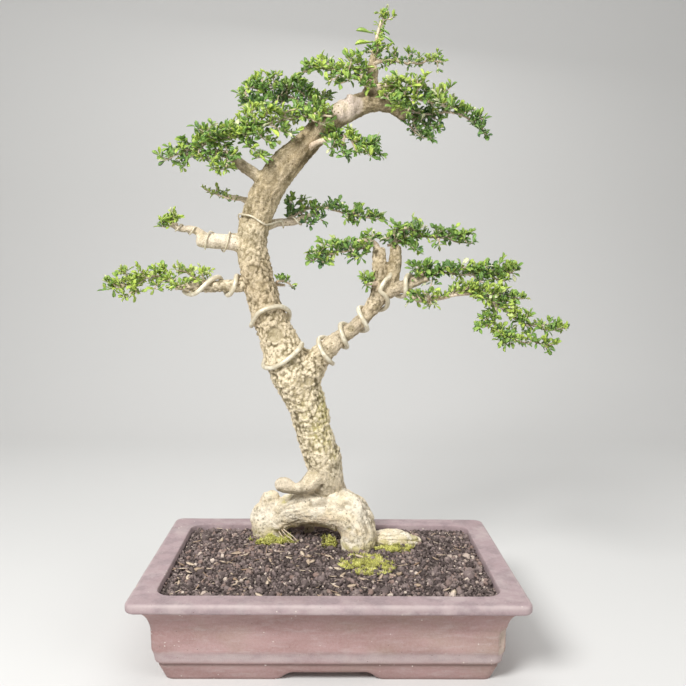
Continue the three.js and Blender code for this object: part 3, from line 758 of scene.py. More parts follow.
# each limb as rows of x, y, height from the rim and radius
limbs = {
    "trunk": [
        [-4, 58, 41, 13], [-4, 54, 65, 19], [-9, 51, 91, 19.2], [-17, 47, 117, 18.6],
        [-25, 44, 145, 19.5], [-38, 42, 177, 24], [-50, 41, 204, 20.5], [-61, 42, 229, 17.5],
        [-71, 43, 259, 16.8], [-79, 45, 287, 16.5], [-84, 47, 312, 15.2], [-82, 48, 331, 16],
        [-76, 47, 351, 16.5], [-66, 45, 373, 16.5], [-50, 42, 395, 15.5], [-30, 40, 416, 13.8],
        [-10, 38, 435, 13], [12, 37, 450, 12.2], [36, 37, 460, 10.8], [56, 38, 458, 9.4],
        [73, 39, 449, 8.4],
    ],
    "leader": [
        [36, 37, 459, 10], [36, 37, 467, 8.2], [39, 37, 474, 7.8], [37, 38, 482, 6.2], [39, 38, 489, 6.4],
        [38, 39, 497, 4.2], [39, 39, 503, 3.2], [42, 40, 517, 2],
    ],
    "upperLeft": [
        [-62, 44, 371, 9], [-78, 41, 385, 7], [-91, 37, 393, 5.8], [-103, 33, 403, 4.6],
        [-122, 30, 408, 2.6],
    ],
    "leftStub": [
        [-84, 47, 316, 10], [-105, 45, 317, 8.6], [-122, 43, 318, 8], [-137, 42, 319, 7],
    ],
    "leftTip": [
        [-130, 42, 320, 5.5], [-138, 42, 327, 4.6], [-147, 41, 330, 3.8], [-157, 40, 330, 3.2],
        [-166, 40, 334, 2.4],
    ],
    "leftLow": [
        [-78, 44, 282, 9], [-95, 41, 273, 7.4], [-112, 37, 272, 6.3], [-137, 34, 271, 5.6],
        [-160, 32, 271, 4],
    ],
    "backLeft": [
        [-80, 52, 356, 6], [-96, 59, 363, 3], [-110, 63, 366, 1.8],
    ],
    "backRight": [
        [-76, 52, 333, 7], [-58, 64, 339, 4.6], [-40, 72, 341, 4], [-24, 76, 348, 3],
    ],
    "rightBranch": [
        [-30, 41, 173, 20], [-18, 39, 193, 14.5], [-5, 37, 207, 10.5], [10, 35, 220, 8.2],
        [25, 34, 232, 7.6], [37, 34, 245, 7.4], [47, 35, 260, 8.8], [50, 36, 277, 8.8],
        [49, 37, 294, 8], [48, 38, 310, 6.5],
    ],
    "rightStub": [
        [48, 35, 262, 8.5], [60, 34, 269, 7.8], [72, 33, 273, 6.4], [84, 31, 278, 5.4],
        [98, 29, 282, 3],
    ],
    "rightUpper": [
        [56, 36, 265, 8.5], [62, 37, 283, 8], [65, 39, 298, 7.2], [66, 41, 313, 5.8],
    ],
    "rightUnder": [
        [74, 32, 271, 5], [84, 27, 264, 3.6], [98, 24, 263, 3],
    ],
    "frontRoot": [
        [-8, 49, 77, 13.5], [-18, 42, 67, 11.5], [-28, 38, 60.5, 7.6], [-37, 37, 59, 5.6],
        [-45, 37.5, 61.5, 8], [-51, 38.5, 63, 8.6], [-55, 39, 62, 6.2],
    ],
    "backRoot": [
        [-10, 62, 71, 13], [-16, 79, 57, 9], [-20, 88, 35, 7], [-22, 90, 11, 6], [-24, 88, -17, 5],
        [-27, 84, -39, 3.5],
    ],
    "sideRoot": [
        [0, 64, 71, 11], [7, 78, 57, 8], [15, 84, 37, 7], [22, 83, 13, 6], [26, 80, -13, 5],
        [28, 78, -35, 3.5],
    ],
}
stoneLimbs = {
    "archBeam": [
        [-58, 75, 15, 17], [-44, 71, 24, 19], [-20, 61, 33, 22.5], [4, 54, 34, 23], [21, 47, 30, 22.5],
        [30, 41, 13, 20], [30, 38, -9, 18.5], [29, 37, -27, 16.5],
    ],
    "archLump": [
        [-66, 76, -29, 19], [-67, 76, -9, 20], [-67, 76, 15, 20.5], [-65, 75, 29, 16.5], [-66, 74, 41, 9.5],
    ],
    "flatStone": [[50, 50, -1, 9], [58, 49, 0, 12], [70, 48, 0, 12], [84, 50, -2, 10], [98, 54, -4, 5]],
}
# hollows in the stones: x, y, height from the rim, reach
stoneHollows = [[-50, 60, 44, 10], [-30, 40, 12, 5], [22, 24, 20, 4], [34, 28, 8, 3.5]]
# how far the stone reaches front and back, as a share of its radius
stoneDepth = {"archLump": 0.8, "flatStone": 1.35}
# heights of what shapes the stones, and how deep the dark lines, pits, hollows and seams go
stoneRelief = dict(strata=0.9, line=1.2, rugged=2.6, facet=0.5, fine=0.5, pit=2.0, hollow=2.2, seam=0.8,
                   sunk=0.4)


def pathOf(rows, stations):
    # middle, direction and radius of rows of x, y, height from the rim and radius
    rows = np.asarray(rows, float)
    place, along = curveAt(rows[:, :3] + up * rimTop, stations)
    return place, along, np.interp(stations, np.arange(len(rows)), rows[:, 3])


def pacesOf(rows, pace):
    return evenStations(np.asarray(rows, float)[:, :3], pace)


def limbAt(limb, stations):
    # pathOf, with the directions of the limb: front (-Y made square to it), side (along x front)
    place, along, radius = pathOf(limb, stations)
    front, side = acrossFrom(along, np.array([0.0, -1.0, 0.0]))
    return dict(place=place, along=along, radius=radius, front=front, side=side, station=np.asarray(stations))


def limbBody(limb, sides=20, pace=3.0, relief=0.06, depth=1.0, dome=0.55):
    # rings of radius r(1 + relief (0.6 sin(2a + 1.7s) + 0.4 sin(3a - 2.3s))), ended by domes
    at = limbAt(limb, pacesOf(limb, pace))
    angle = np.arange(sides) * 2 * np.pi / sides
    station = at["station"][:, None]
    wave = 0.6 * np.sin(2 * angle + 1.7 * station) + 0.4 * np.sin(3 * angle - 2.3 * station)
    reach = at["radius"][:, None] * (1 + relief * wave)
    offset = (reach * np.cos(angle) * depth)[..., None] * at["front"][:, None]
    offset = offset + (reach * np.sin(angle))[..., None] * at["side"][:, None]
    rings = at["place"][:, None] + offset
    bulge = np.linspace(0, 1, 5)[1:] * np.pi / 2 * 0.92
    for end, way in ((0, -1), (-1, 1)):
        shift = way * dome * at["radius"][end] * np.sin(bulge)[:, None, None] * at["along"][end]
        extra = at["place"][end] + offset[end] * np.cos(bulge)[:, None, None] + shift
        rings = np.vstack([extra[::-1], rings]) if end == 0 else np.vstack([rings, extra])
    return closedRings(rings)


def samplesOf(named, **given):
    # points along all the limbs, to tell which limb a place on the skin belongs to
    rows = []
    for name, limb in named.items():
        stations = pacesOf(limb, 3.0)
        at = limbAt(limb, stations)
        at["run"] = runOf(at["place"])
        for key, values in given.items():
            stated = np.atleast_1d(values.get(name, 0.4))
            at[key] = np.interp(stations, np.linspace(0, len(limb) - 1, len(stated)), stated)
        rows.append(at)
    return {key: np.concatenate([row[key] for row in rows]) for key in rows[0]}


def nearestSample(points, samples):
    # the sample whose skin is nearest, and the looks of those around it, weighted by exp(-gap / 2 mm)
    chosen, look = [], []
    for start in range(0, len(points), blockSize):
        some = points[start:start + blockSize]
        gap = np.linalg.norm(some[:, None] - samples["place"][None], axis=-1) - samples["radius"]
        chosen.append(np.argmin(gap, axis=1))
        weight = np.exp(-(gap - gap.min(1, keepdims=True)) / 2)
        look.append((weight * samples["look"]).sum(1) / weight.sum(1))
    return np.concatenate(chosen), np.concatenate(look)


def localPlace(points, samples, chosen):
    # distance run along the limb, and offsets to its front and side
    away = points - samples["place"][chosen]
    along = samples["run"][chosen] + np.sum(away * samples["along"][chosen], -1)
    toFront = np.sum(away * samples["front"][chosen], -1)
    toSide = np.sum(away * samples["side"][chosen], -1)
    return np.stack([along, toFront, toSide], -1)


# training wire wound round the limbs: station and degrees, 0 the front and 90 the side
wires = dict(
    thick=dict(radius=2.4, turns=[
        ["leftLow", [[3.7, -140], [3.35, -90], [2.8, 0], [2.2, 90], [1.95, 180], [1.75, 270], [1.45, 360],
                     [1.15, 450]]],
        ["trunk", [[9.0, -100], [8.7, -140], [8.2, -165], [7.7, -140], [7.3, -100], [7.35, -60], [7.6, -20],
                   [7.65, 10], [7.6, 45], [7.35, 90], [6.9, 150], [6.4, 205], [5.95, 250], [5.8, 285],
                   [5.7, 325], [5.75, 360], [5.9, 400], [6.15, 445]]],
        ["rightBranch", [[1.0, -105], [1.2, -150], [1.45, -210], [1.7, -270], [1.85, -360], [2.1, -450],
                         [2.5, -540], [2.9, -630], [3.15, -720], [3.4, -810], [3.75, -900], [4.3, -990],
                         [4.55, -1080], [4.9, -1170], [5.3, -1260], [5.85, -1350], [6.5, -1440], [7.1, -1420],
                         [7.5, -1370], [7.6, -1290]]],
        ["rightStub", [[1.2, -200], [1.6, -240], [1.95, -270], [2.35, -360], [2.8, -450], [3.1, -540]]],
    ]),
    thin=dict(radius=0.9, turns=[
        ["leftTip", [[3.3, -60], [3.1, 0], [2.9, 90], [2.4, 180], [1.9, 270], [1.6, 360], [1.4, 430]]],
        ["leftStub", [[2.7, 180], [2.6, 270], [2.5, 360], [2.3, 450], [1.7, 540], [1.4, 630], [1.2, 720],
                      [1.1, 810], [0.95, 870]]],
        ["trunk", [[10.9, -170], [11.2, -120], [11.5, -70], [11.6, -10], [11.4, 40], [11.2, 80]]],
        ["backRight", [[1.1, 0], [1.5, 180], [2, 360], [2.5, 540], [2.8, 630]]],
    ]),
    step=30, gap=0.3, relief=0.06, sides=14, pace=1.6,
)


def wirePath(wire):
    # round each limb in even steps: middle + reach (cos a front + sin a side), where the reach is
    # r (1 + relief) + gap + the wire's radius
    places, outward = [], []
    for limb, turns in wire["turns"]:
        for (fromStation, fromAngle), (station, angle) in zip(turns, turns[1:]):
            count = max(1, round(abs(angle - fromAngle) / wires["step"]))
            share = np.arange(count) / count
            at = limbAt(limbs[limb], fromStation + (station - fromStation) * share)
            turn = np.radians(fromAngle + (angle - fromAngle) * share)[:, None]
            out = np.cos(turn) * at["front"] + np.sin(turn) * at["side"]
            reach = at["radius"] * (1 + wires["relief"]) + wires["gap"] + wire["radius"]
            places.append(at["place"] + out * reach[:, None])
            outward.append(out)
    places, outward = np.vstack(places), np.vstack(outward)
    stations = evenStations(places, wires["pace"])
    path, along = curveAt(places, stations)
    out = np.stack([np.interp(stations, np.arange(len(places)), outward[:, k]) for k in range(3)], -1)
    return path, along, unit(out)


wirePaths = {name: wirePath(wires[name]) for name in ("thick", "thin")}


def makeWire(name, node):
    # a round wire, its cut ends a little rounded
    path, along, out = wirePaths[name]
    radius = np.full(len(path), wires[name]["radius"] * 1.0)
    radius[[0, -1]] *= 0.8
    radius = radius * (1 + 0.02 * waves(path, 9, 3))
    points, faces = tube(path, along, out, radius, wires["sides"])
    addPiece(f"{name}Wire", meshOf(name, points, faces), materials["wire"], [node])


print("wire")
makeWire("thick", "branch_wire_thick")
makeWire("thin", "branch_wire_thin")

wood = dict(
    # squares of the skin; sizes of the knobs, of the lumps they crowd in and of the ridges; their heights
    pitch=1.25, knobSize=3.3, lumpSize=11, ridgeSize=4.4, knobHeight=2.0, lumpHeight=1.7, ridgeHeight=1.35,
    # scars: how deep the middle sinks and how high the ring stands; hollows: depth as a share of reach
    scarSink=0.9, scarRing=1.1, hollowDepth=0.45,
    # how rough the bark is along each limb, from 0 smooth to 1 rugged
    rough=dict(trunk=[0.45, 0.55, 0.8, 1, 1, 1, 1, 1, 1, 1, 1, 1, 1, 1, 0.95, 0.8, 0.7, 0.75, 0.8, 0.8, 0.8],
               leader=1.0, upperLeft=0.6, leftStub=0.3, leftTip=0.3, leftLow=0.7, backLeft=0.4, backRight=0.35,
               rightBranch=[1, 0.85, 0.65, 0.55, 0.55, 0.6, 0.75, 0.75, 0.75, 0.75], rightStub=0.5,
               rightUpper=0.8, rightUnder=0.4, frontRoot=[0.6, 0.55, 0.45, 0.5, 0.42, 0.4, 0.4],
               backRoot=0.4, sideRoot=0.4),
    # how much of that is knobs rather than ridges
    knobs=dict(trunk=[0.3, 0.5, 0.9, 1, 1, 1, 1, 0.95, 0.8, 0.7, 0.5, 0.45, 0.4, 0.3, 0.2, 0.15, 0.1, 0.2, 0.3,
                      0.4, 0.4],
               leftLow=0.7, rightBranch=[1, 1, 0.8, 0.7, 0.7, 0.7, 0.8, 0.8, 0.8, 0.8], frontRoot=0.1),
    # how much painted shade darkens each part, from 0 to 1, most near the crown
    shade=dict(trunk=[0, 0, 0, 0, 0.05, 0.15, 0.3, 0.5, 0.7, 0.7, 0.4, 0.4, 0.6, 0.65, 0.75, 0.85, 0.7, 0.7,
                      0.85, 0.85, 0.7],
               leader=0.7, upperLeft=0.5, leftStub=0.02, leftTip=0.3, leftLow=0.3, backLeft=0.5, backRight=0.3,
               rightBranch=[0.15, 0.3, 0.4, 0.45, 0.55, 0.6, 0.6, 0.6, 0.7, 0.7], rightStub=0.5, rightUpper=0.6,
               rightUnder=0.6, frontRoot=[0.05, 0.12, 0.1, 0.0], backRoot=0.2, sideRoot=0.2),
    # rotted hollows: x, y, height from the rim, reach
    hollows=[[28, 30, 467, 6.5], [37, 30, 466, 5], [-9, 38, 63, 4.5], [-4, 30, 72, 3.5]],
    # healed cuts: x, y, height from the rim, radius
    scars=[[-57.7, 24, 222.8, 9], [-82, 32, 290, 5.5], [-40, 22, 196, 4.5], [-24, 24, 176, 6],
           [-70, 60, 300, 8], [-20, 66, 130, 7], [20, 25, 230, 4.5]],
    # the big cut at the bend: place and reach
    sawCut=[[14, 24, 452], 17],
    # green bloom: x, y, height from the rim, reach
    algae=[[-12, 30, 150, 30], [-8, 30, 118, 22], [10, 34, 96, 14], [-60, 26, 300, 16]],
)


def awayFrom(points, place, reach):
    # distance from a place, height from the rim, in reaches
    return np.linalg.norm(points - (np.array(place, float) + up * rimTop), axis=1) / reach


def makeWood():
    s = wood
    points, faces = fused("wood", [limbBody(limb) for limb in limbs.values()], s["pitch"])
    samples = samplesOf(limbs, look=s["rough"], knobs=s["knobs"], shade=s["shade"])
    chosen, rough = nearestSample(points, samples)
    local = localPlace(points, samples, chosen)
    radius = samples["radius"][chosen]
    normal = normalsOf(points, faces)
    # bark: small round knobs crowded in lumps, and lengthwise ridges where they thin out
    knobby = np.clip(1.1 * samples["knobs"][chosen] + 0.35 * layeredWaves(points, 26, 5), 0, 1)
    near, _, tint = cells((local + 0.9 * waves(local, 5, 33)[:, None]) / [1.12, 1, 1], s["knobSize"], 21)
    knob = np.clip(1 - (near / 0.74) ** 2, 0, 1) * (0.3 + 0.9 * tint)
    lump = layeredWaves(points, s["lumpSize"], 35)
    ridge = layeredWaves(local / [4.2, 1, 1], s["ridgeSize"], 61)
    height = knobby * (s["knobHeight"] * knob + s["lumpHeight"] * lump) - 0.7
    height += (1 - knobby) * (s["ridgeHeight"] * ridge + 0.35 * s["knobHeight"] * knob)
    height = rough * height + 0.055 * radius * layeredWaves(points, 22, 81) + 0.25 * waves(points, 2.4, 91)
    pale = knobby * ramp(knob + 0.3 * lump, 0.12, 0.62) + (1 - knobby) * ramp(ridge, -0.1, 0.5)
    fissureAndShade = knobby * (1 - ramp(knob, 0.0, 0.16)) * 0.8 + (1 - knobby) * ramp(-ridge, 0.12, 0.5) * 0.75
    fissureAndShade = np.clip(0.2 + rough, 0, 1) * fissureAndShade * ramp(layeredWaves(points, 9, 37), -0.7, 0.2)
    # scars: a raised ring round a sunken middle
    scar = np.zeros(len(points))
    for x, y, z, reach in s["scars"]:
        away = awayFrom(points, [x, y, z], reach) + 0.12 * layeredWaves(points, 6, 7)
        inside = 1 - ramp(away, 0.75, 1.0)
        ring = np.exp(-(((away - 1.0) / 0.17) ** 2))
        height = height * (1 - inside * 0.8) - s["scarSink"] * inside + s["scarRing"] * ring
        fissureAndShade = fissureAndShade * (1 - inside) + 0.4 * np.exp(-(((away - 0.8) / 0.08) ** 2))
        scar = np.maximum(scar, inside * 0.8)
    # hollows: sunk, and painted dark with the fissure colour as shade
    for x, y, z, reach in s["hollows"]:
        inside = 1 - ramp(awayFrom(points, [x, y, z], reach) + 0.25 * layeredWaves(points, 5, 9), 0.5, 1.15)
        height -= s["hollowDepth"] * reach * inside
        fissureAndShade = np.maximum(fissureAndShade, 0.85 * inside)
    # the big cut at the bend: bare wood with combed splinters
    cutPlace, cutReach = s["sawCut"]
    away = awayFrom(points, cutPlace, cutReach) + 0.15 * layeredWaves(points, 7, 77)
    cut = (1 - ramp(away, 0.75, 1.05)) * ramp(normal[:, 1], 0.5, -0.1)
    combed = waves(points / [1, 7, 7], 4.2, 55) + 0.6 * waves(points / [1, 5, 5], 2.3, 56)
    lip = ramp(points[:, 2] - rimTop, cutPlace[2] + 2, cutPlace[2] + 10)
    height = height * (1 - cut) + cut * (combed * (1.5 + 2.0 * lip) - 0.6 + 0.9 * lip)
    fissureAndShade = fissureAndShade * (1 - cut) + cut * ramp(-combed, 0.0, 0.6) * (0.35 + 0.55 * lip)
    points = points + normal * height[:, None]
    # the bark gives way under the wires
    for name in ("thick", "thin"):
        path, clear = wirePaths[name][0], wires[name]["radius"] + 0.1
        for start in range(0, len(points), blockSize):
            some = points[start:start + blockSize]
            gap = np.linalg.norm(some[:, None] - path[None], axis=-1)
            nearest = np.argmin(gap, axis=1)
            gap = np.take_along_axis(gap, nearest[:, None], 1)
            pushed = path[nearest] + (some - path[nearest]) / np.maximum(gap, 0.01) * clear
            points[start:start + blockSize] = np.where(gap < clear, pushed, some)
    algae = np.zeros(len(points))
    for x, y, z, reach in s["algae"]:
        algae = np.maximum(algae, 1 - ramp(awayFrom(points, [x, y, z], reach), 0.4, 1.0))
    bare = np.clip(1.25 - 1.6 * rough, 0, 1)
    # painted shade along the limbs, less on the bare cut
    shade = samples["shade"][chosen] * (1 - 0.8 * cut)
    shade = np.clip(shade + 0.15 * layeredWaves(points, 18, 47), 0, 1)
    pale = np.clip(0.35 + rough, 0, 1) * pale * (0.42 + 0.58 * knobby)
    fissureAndShade = np.clip(fissureAndShade, 0, 1)
    marks = dict(fissureAndShade=fissureAndShade, knob=pale, bare=bare, scar=scar, cut=cut, algae=algae, shade=shade)
    mesh = meshOf("treeWood", points, faces, marks=marks)
    addPiece("treeWood", mesh, materials["bark"], ["tree_wood"])
    print("  wood", len(points), "points")


print("wood")
makeWood()


def makeStone(name, parts, node, pitch=1.15):
    # strata: waves that change fast across the stone's course and slowly along it
    s = stoneRelief
    bodies = [limbBody(stoneLimbs[part], 24, 3.0, 0.07, stoneDepth.get(part, 1.0)) for part in parts]
    points, faces = fused(name, bodies, pitch)
    looks = {"archLump": 1.0, "archBeam": 0.0, "flatStone": 0.0}
    samples = samplesOf({part: stoneLimbs[part] for part in parts}, look=looks)
    chosen, lump = nearestSample(points, samples)
    local = localPlace(points, samples, chosen)
    normal = normalsOf(points, faces)
    course = local + 1.8 * layeredWaves(points, 16, 12)[:, None]
    strata = layeredWaves(course / [12, 4.5, 1], 2.6, 13)
    line = waves(course / [11, 3.4, 1], 3.4, 14) + 0.3 * waves(points, 9, 16)
    line = 1 - ramp(np.abs(line), 0.03, 0.2)
    line = line * ramp(layeredWaves(points, 13, 17), -0.5, 0.1)
    near, _, _ = cells(points + 1.5 * waves(points, 5, 4)[:, None], 4.6, 19)
    pit = (1 - ramp(near, 0.1, 0.38)) * ramp(layeredWaves(points, 15, 3), -0.15, 0.3) * (0.5 + 0.5 * lump)
    rugged = layeredWaves(points, [14, 14, 12], 29, 4)
    facet, nextFacet, _ = cells(points + 3 * waves(points, 12, 6)[:, None], 17, 27)
    seam = (1 - ramp(nextFacet - facet, 0.0, 0.05)) * ramp(layeredWaves(points, 20, 53), 0.05, 0.3)
    hollow = np.zeros(len(points))
    for x, y, z, reach in stoneHollows:
        hollow = np.maximum(hollow, 1 - ramp(awayFrom(points, [x, y, z], reach), 0.4, 1.1))
    height = (1 - 0.6 * lump) * (s["strata"] * strata - s["line"] * line) + s["rugged"] * rugged
    height -= s["pit"] * pit + s["hollow"] * hollow + s["seam"] * seam + s["sunk"]
    height += s["facet"] * ramp(nextFacet - facet, 0.0, 0.5) + s["fine"] * layeredWaves(points, 2.6, 43)
    points = points + normal * height[:, None]
    ground = points[:, 2] - rimTop
    # layer: the dark lines, strata and seams, and painted shade in the hollows
    layer = (1 - 0.6 * lump) * (0.85 * line + 0.4 * ramp(-strata, 0.1, 0.7)) + 0.35 * seam + 0.6 * hollow
    damp = 0.9 * (1 - ramp(ground + 9 * layeredWaves(points, 11, 51), -3, 12))
    soiled = 1 - ramp(ground + 6 * layeredWaves(points, 6, 52), -8, 0)
    marks = dict(layer=np.clip(layer, 0, 1), pit=pit, damp=np.maximum(damp, hollow), soiled=soiled)
    addPiece(name, meshOf(name, points, faces, marks=marks), materials["stone"], [node])
    print(" ", name, len(points), "points")


print("stones")
makeStone("archStone", ["archBeam", "archLump"], "arch_stone")
makeStone("flatStone", ["flatStone"], "flat_stone", 0.8)

soil = dict(
    drop=6.5, mound=3, bedUnder=21.5, spacing=3.3, radius=(1.15, 2.9), fineCount=3200, fineRadius=(0.5, 1.1),
    pebbles=170, pebbleRadius=(2.2, 4.8), slivers=95, sliverLength=(4, 15), sliverWidth=(0.4, 1.0),
    chips=75, chipLength=(5, 12), chipWidth=(1.3, 2.9), edge=pot["rimWidth"] + pot["innerLip"],
    # chips lie thickest here: x, y, spread
    heaps=[[-105, -45, 26], [40, -60, 30], [-30, 10, 26]],
)


def edgeDistance(points):
    # how far a place is inside the inner edge of the rim
    return np.minimum(halfLength - np.abs(points[:, 0]), halfDepth - np.abs(points[:, 1])) - soil["edge"]


def soilHeight(points):
    # the bed rises from the rim to the middle, with low uneven waves
    share = edgeDistance(points) / (2 * halfDepth / 3)
    rise = np.interp(share, [0, 0.2, 0.5, 0.8, 1], [0, 0.45, 0.8, 1, 1])
    flat = np.column_stack([points[:, :2], np.zeros(len(points))])
    return rimTop - soil["drop"] + soil["mound"] * rise + 1.1 * layeredWaves(flat, 26, 71)


def ball(detail):
    # an icosahedron, its faces split in four detail times
    golden = (1 + 5**0.5) / 2
    corners = [[-1, golden, 0], [1, golden, 0], [-1, -golden, 0], [1, -golden, 0], [0, -1, golden],
               [0, 1, golden], [0, -1, -golden], [0, 1, -golden], [golden, 0, -1], [golden, 0, 1],
               [-golden, 0, -1], [-golden, 0, 1]]
    faces = [[0, 11, 5], [0, 5, 1], [0, 1, 7], [0, 7, 10], [0, 10, 11], [1, 5, 9], [5, 11, 4], [11, 10, 2],
             [10, 7, 6], [7, 1, 8], [3, 9, 4], [3, 4, 2], [3, 2, 6], [3, 6, 8], [3, 8, 9], [4, 9, 5],
             [2, 4, 11], [6, 2, 10], [8, 6, 7], [9, 8, 1]]
    points, faces = unit(np.array(corners, float)), np.array(faces)
    for _ in range(detail):
        middles = [points[faces[:, k]] + points[faces[:, (k + 1) % 3]] for k in range(3)]
        start = len(points)
        added = [start + k * len(faces) + np.arange(len(faces)) for k in range(3)]
        points = np.vstack([points] + [unit(part) for part in middles])
        a, b, c = faces.T
        ab, bc, ca = added
        parts = (a, ab, ca), (b, bc, ab), (c, ca, bc), (ab, bc, ca)
        faces = np.vstack([np.stack(part, -1) for part in parts])
    return points, [faces]


def scatterPlaces(count):
    # places at random inside the rim, their heights still to come
    reachX, reachY = halfLength - soil["edge"], halfDepth - soil["edge"]
    x, y = rng.uniform(-reachX, reachX, count), rng.uniform(-reachY, reachY, count)
    places = np.column_stack([x, y, np.zeros(count)])
    return places[edgeDistance(places) > 0.6]


def grainTones(places, count):
    # two in three grains dark, the rest greyish, brown and tan; a paler reddish patch before the left lump
    tone = rng.choice([0.0, 0.25, 0.55, 0.72, 1.0], size=count, p=[0.37, 0.27, 0.19, 0.125, 0.045])
    tone = tone + rng.uniform(-0.08, 0.08, count)
    tone = np.where(rng.random(count) < ramp(layeredWaves(places, 34, 19), 0.0, 0.5), tone * 0.4, tone)
    patch = 1 - ramp(np.linalg.norm((places[:, :2] - [-92, 18]) / [38, 22], axis=1), 0.5, 1.0)
    patch = np.maximum(patch, 0.6 * ramp(layeredWaves(places, 40, 87), 0.2, 0.6))
    return np.clip(np.where(rng.random(count) < 0.45 * patch, rng.uniform(0.6, 0.95, count), tone), 0, 1)


def scatterGrains(name, places, radius, detail, rough, replaced=(), rest=None):
    # each grain a ball, flattened and stretched at random, its corners pushed in and out
    shape, shapeFaces = ball(detail)
    count = len(places)
    places[:, 2] = soilHeight(places) + radius * rng.uniform(-0.55, 0.35, count)
    stretch = rng.uniform(0.62, 1.25, (count, 3)) * radius[:, None]
    axes = randomTurns(count, 1.25) * stretch[:, :, None]
    points, faces = scattered(shape, shapeFaces, places, axes)
    wobble = 1 + rough * (rng.random((count, len(shape))) - 0.5)
    middles = np.repeat(places, len(shape), 0)
    points = middles + (points - middles) * wobble.reshape(-1, 1)
    tone = np.repeat(grainTones(places, count), len(shape))
    if rest is not None:
        points, faces, tone = joined([rest, (points, faces, tone)])
    mesh = meshOf(name, points, faces, smooth=detail > 0, marks=dict(tone=tone))
    addPiece(name, mesh, materials["soil"], replaced)


def joined(bodies):
    # the points, faces and tones of several bodies as one
    points, faces = gather([body[:2] for body in bodies])
    return points, faces, np.concatenate([body[2] for body in bodies])


def makeSoil():
    s, edge = soil, soil["edge"]
    # the bed: up the inside of the pot, then in over the surface
    risers, surfaces = 7, 36
    upInside = np.linspace(pot["waist"] + pot["wall"] + 2, edge + 0.6, 4)
    insets = np.concatenate([[halfDepth - 5, 60, 45], upInside, edge + np.linspace(0.5, 92, surfaces)])
    rise = np.linspace(s["bedUnder"], rimTop - s["drop"] - 2, 4)
    heights = np.concatenate([[s["bedUnder"]] * 3, rise, np.zeros(surfaces)])
    corner = np.minimum(pot["innerCorner"], halfDepth - insets - 0.5)
    rings = roundedRings(insets, corner, heights)
    surface = rings[risers:].reshape(-1, 3)
    surface[:, 2] = soilHeight(surface) - 1.0 + 0.6 * waves(surface, 3, 5)
    rings[risers:] = surface.reshape(rings[risers:].shape)
    points, faces = closedRings(rings)
    bed = (points, faces, np.full(len(points), 0.02))
    # grains in a jittered grid
    x, y = np.meshgrid(np.arange(-halfLength + edge, halfLength - edge, s["spacing"]),
                       np.arange(-halfDepth + edge, halfDepth - edge, s["spacing"]))
    places = np.column_stack([x.ravel(), y.ravel(), np.zeros(x.size)])
    places[:, :2] += rng.uniform(-0.5, 0.5, (len(places), 2)) * s["spacing"]
    places = places[edgeDistance(places) > 0.8]
    low, high = s["radius"]
    radius = low + (high - low) * rng.random(len(places)) ** 1.7
    scatterGrains("soilGrains", places, radius, 0, 0.5, ["soil"], bed)
    places = scatterPlaces(s["fineCount"])
    scatterGrains("soilCrumbs", places, rng.uniform(*s["fineRadius"], len(places)), 0, 0.4)
    places = scatterPlaces(s["pebbles"])
    scatterGrains("soilPebbles", places, rng.uniform(*s["pebbleRadius"], len(places)), 1, 0.22)
    scatterStrips("soilSlivers", scatterPlaces(s["slivers"]), s["sliverLength"], s["sliverWidth"])
    heaps = np.array(s["heaps"], float)[rng.integers(0, len(s["heaps"]), s["chips"])]
    spots = heaps[:, :2] + rng.normal(size=(s["chips"], 2)) * heaps[:, 2:]
    places = np.column_stack([spots, np.zeros(s["chips"])])
    scatterStrips("soilChips", places[edgeDistance(places) > 2], s["chipLength"], s["chipWidth"])


def scatterStrips(name, places, lengths, widths):
    # slivers and flakes of bark lying about: thin bent strips, pointed at both ends
    run = np.array([-1, -0.55, 0.0, 0.55, 1])
    wide = np.array([0.15, 0.9, 1, 0.8, 0.1])
    section = np.array([[1, 0], [0, 1], [-1, 0], [0, -1]])
    strip = np.stack([np.broadcast_to(run[:, None], (5, 4)), wide[:, None] * section[:, 0],
                      wide[:, None] * section[:, 1]], -1)
    shape, shapeFaces = closedRings(strip)
    shape[:, 2] += 0.9 * shape[:, 0] ** 2
    shape[:, 2] -= 0.4
    count = len(places)
    places[:, 2] = soilHeight(places) + rng.uniform(0.9, 2.1, count)
    length, width = rng.uniform(*lengths, count) / 2, rng.uniform(*widths, count)
    size = np.column_stack([length, width, rng.uniform(0.3, 0.6, count)])
    axes = randomTurns(count, 0.28) * size[:, :, None]
    points, faces = scattered(shape, shapeFaces, places, axes)
    tone = np.repeat(np.clip(rng.normal(0.62, 0.33, count), 0, 1), len(shape))
    addPiece(name, meshOf(name, points, faces, marks=dict(tone=tone)), materials["chip"])


print("soil")
makeSoil()


moss = dict(
    # cushions: x, y, reach along X and Y, height
    cushions=dict(moss_front=[38, -16, 17, 13, 3], moss_side=[68, 29, 13, 8, 4.5], moss_arch=[2, 43, 7, 6, 4],
                  moss_left=[-62, 51, 15, 7, 4]),
    # loose blades round each: how many, how far out along X and Y, how high they climb
    blades=dict(moss_front=[8500, 29, 30, 0], moss_side=[5200, 21, 13, 3], moss_arch=[3000, 11, 11, 11],
                moss_left=[4800, 28, 12, 5]),
    length=(1.5, 4.2), width=0.15, rings=16, sides=40, lean=0.75,
)


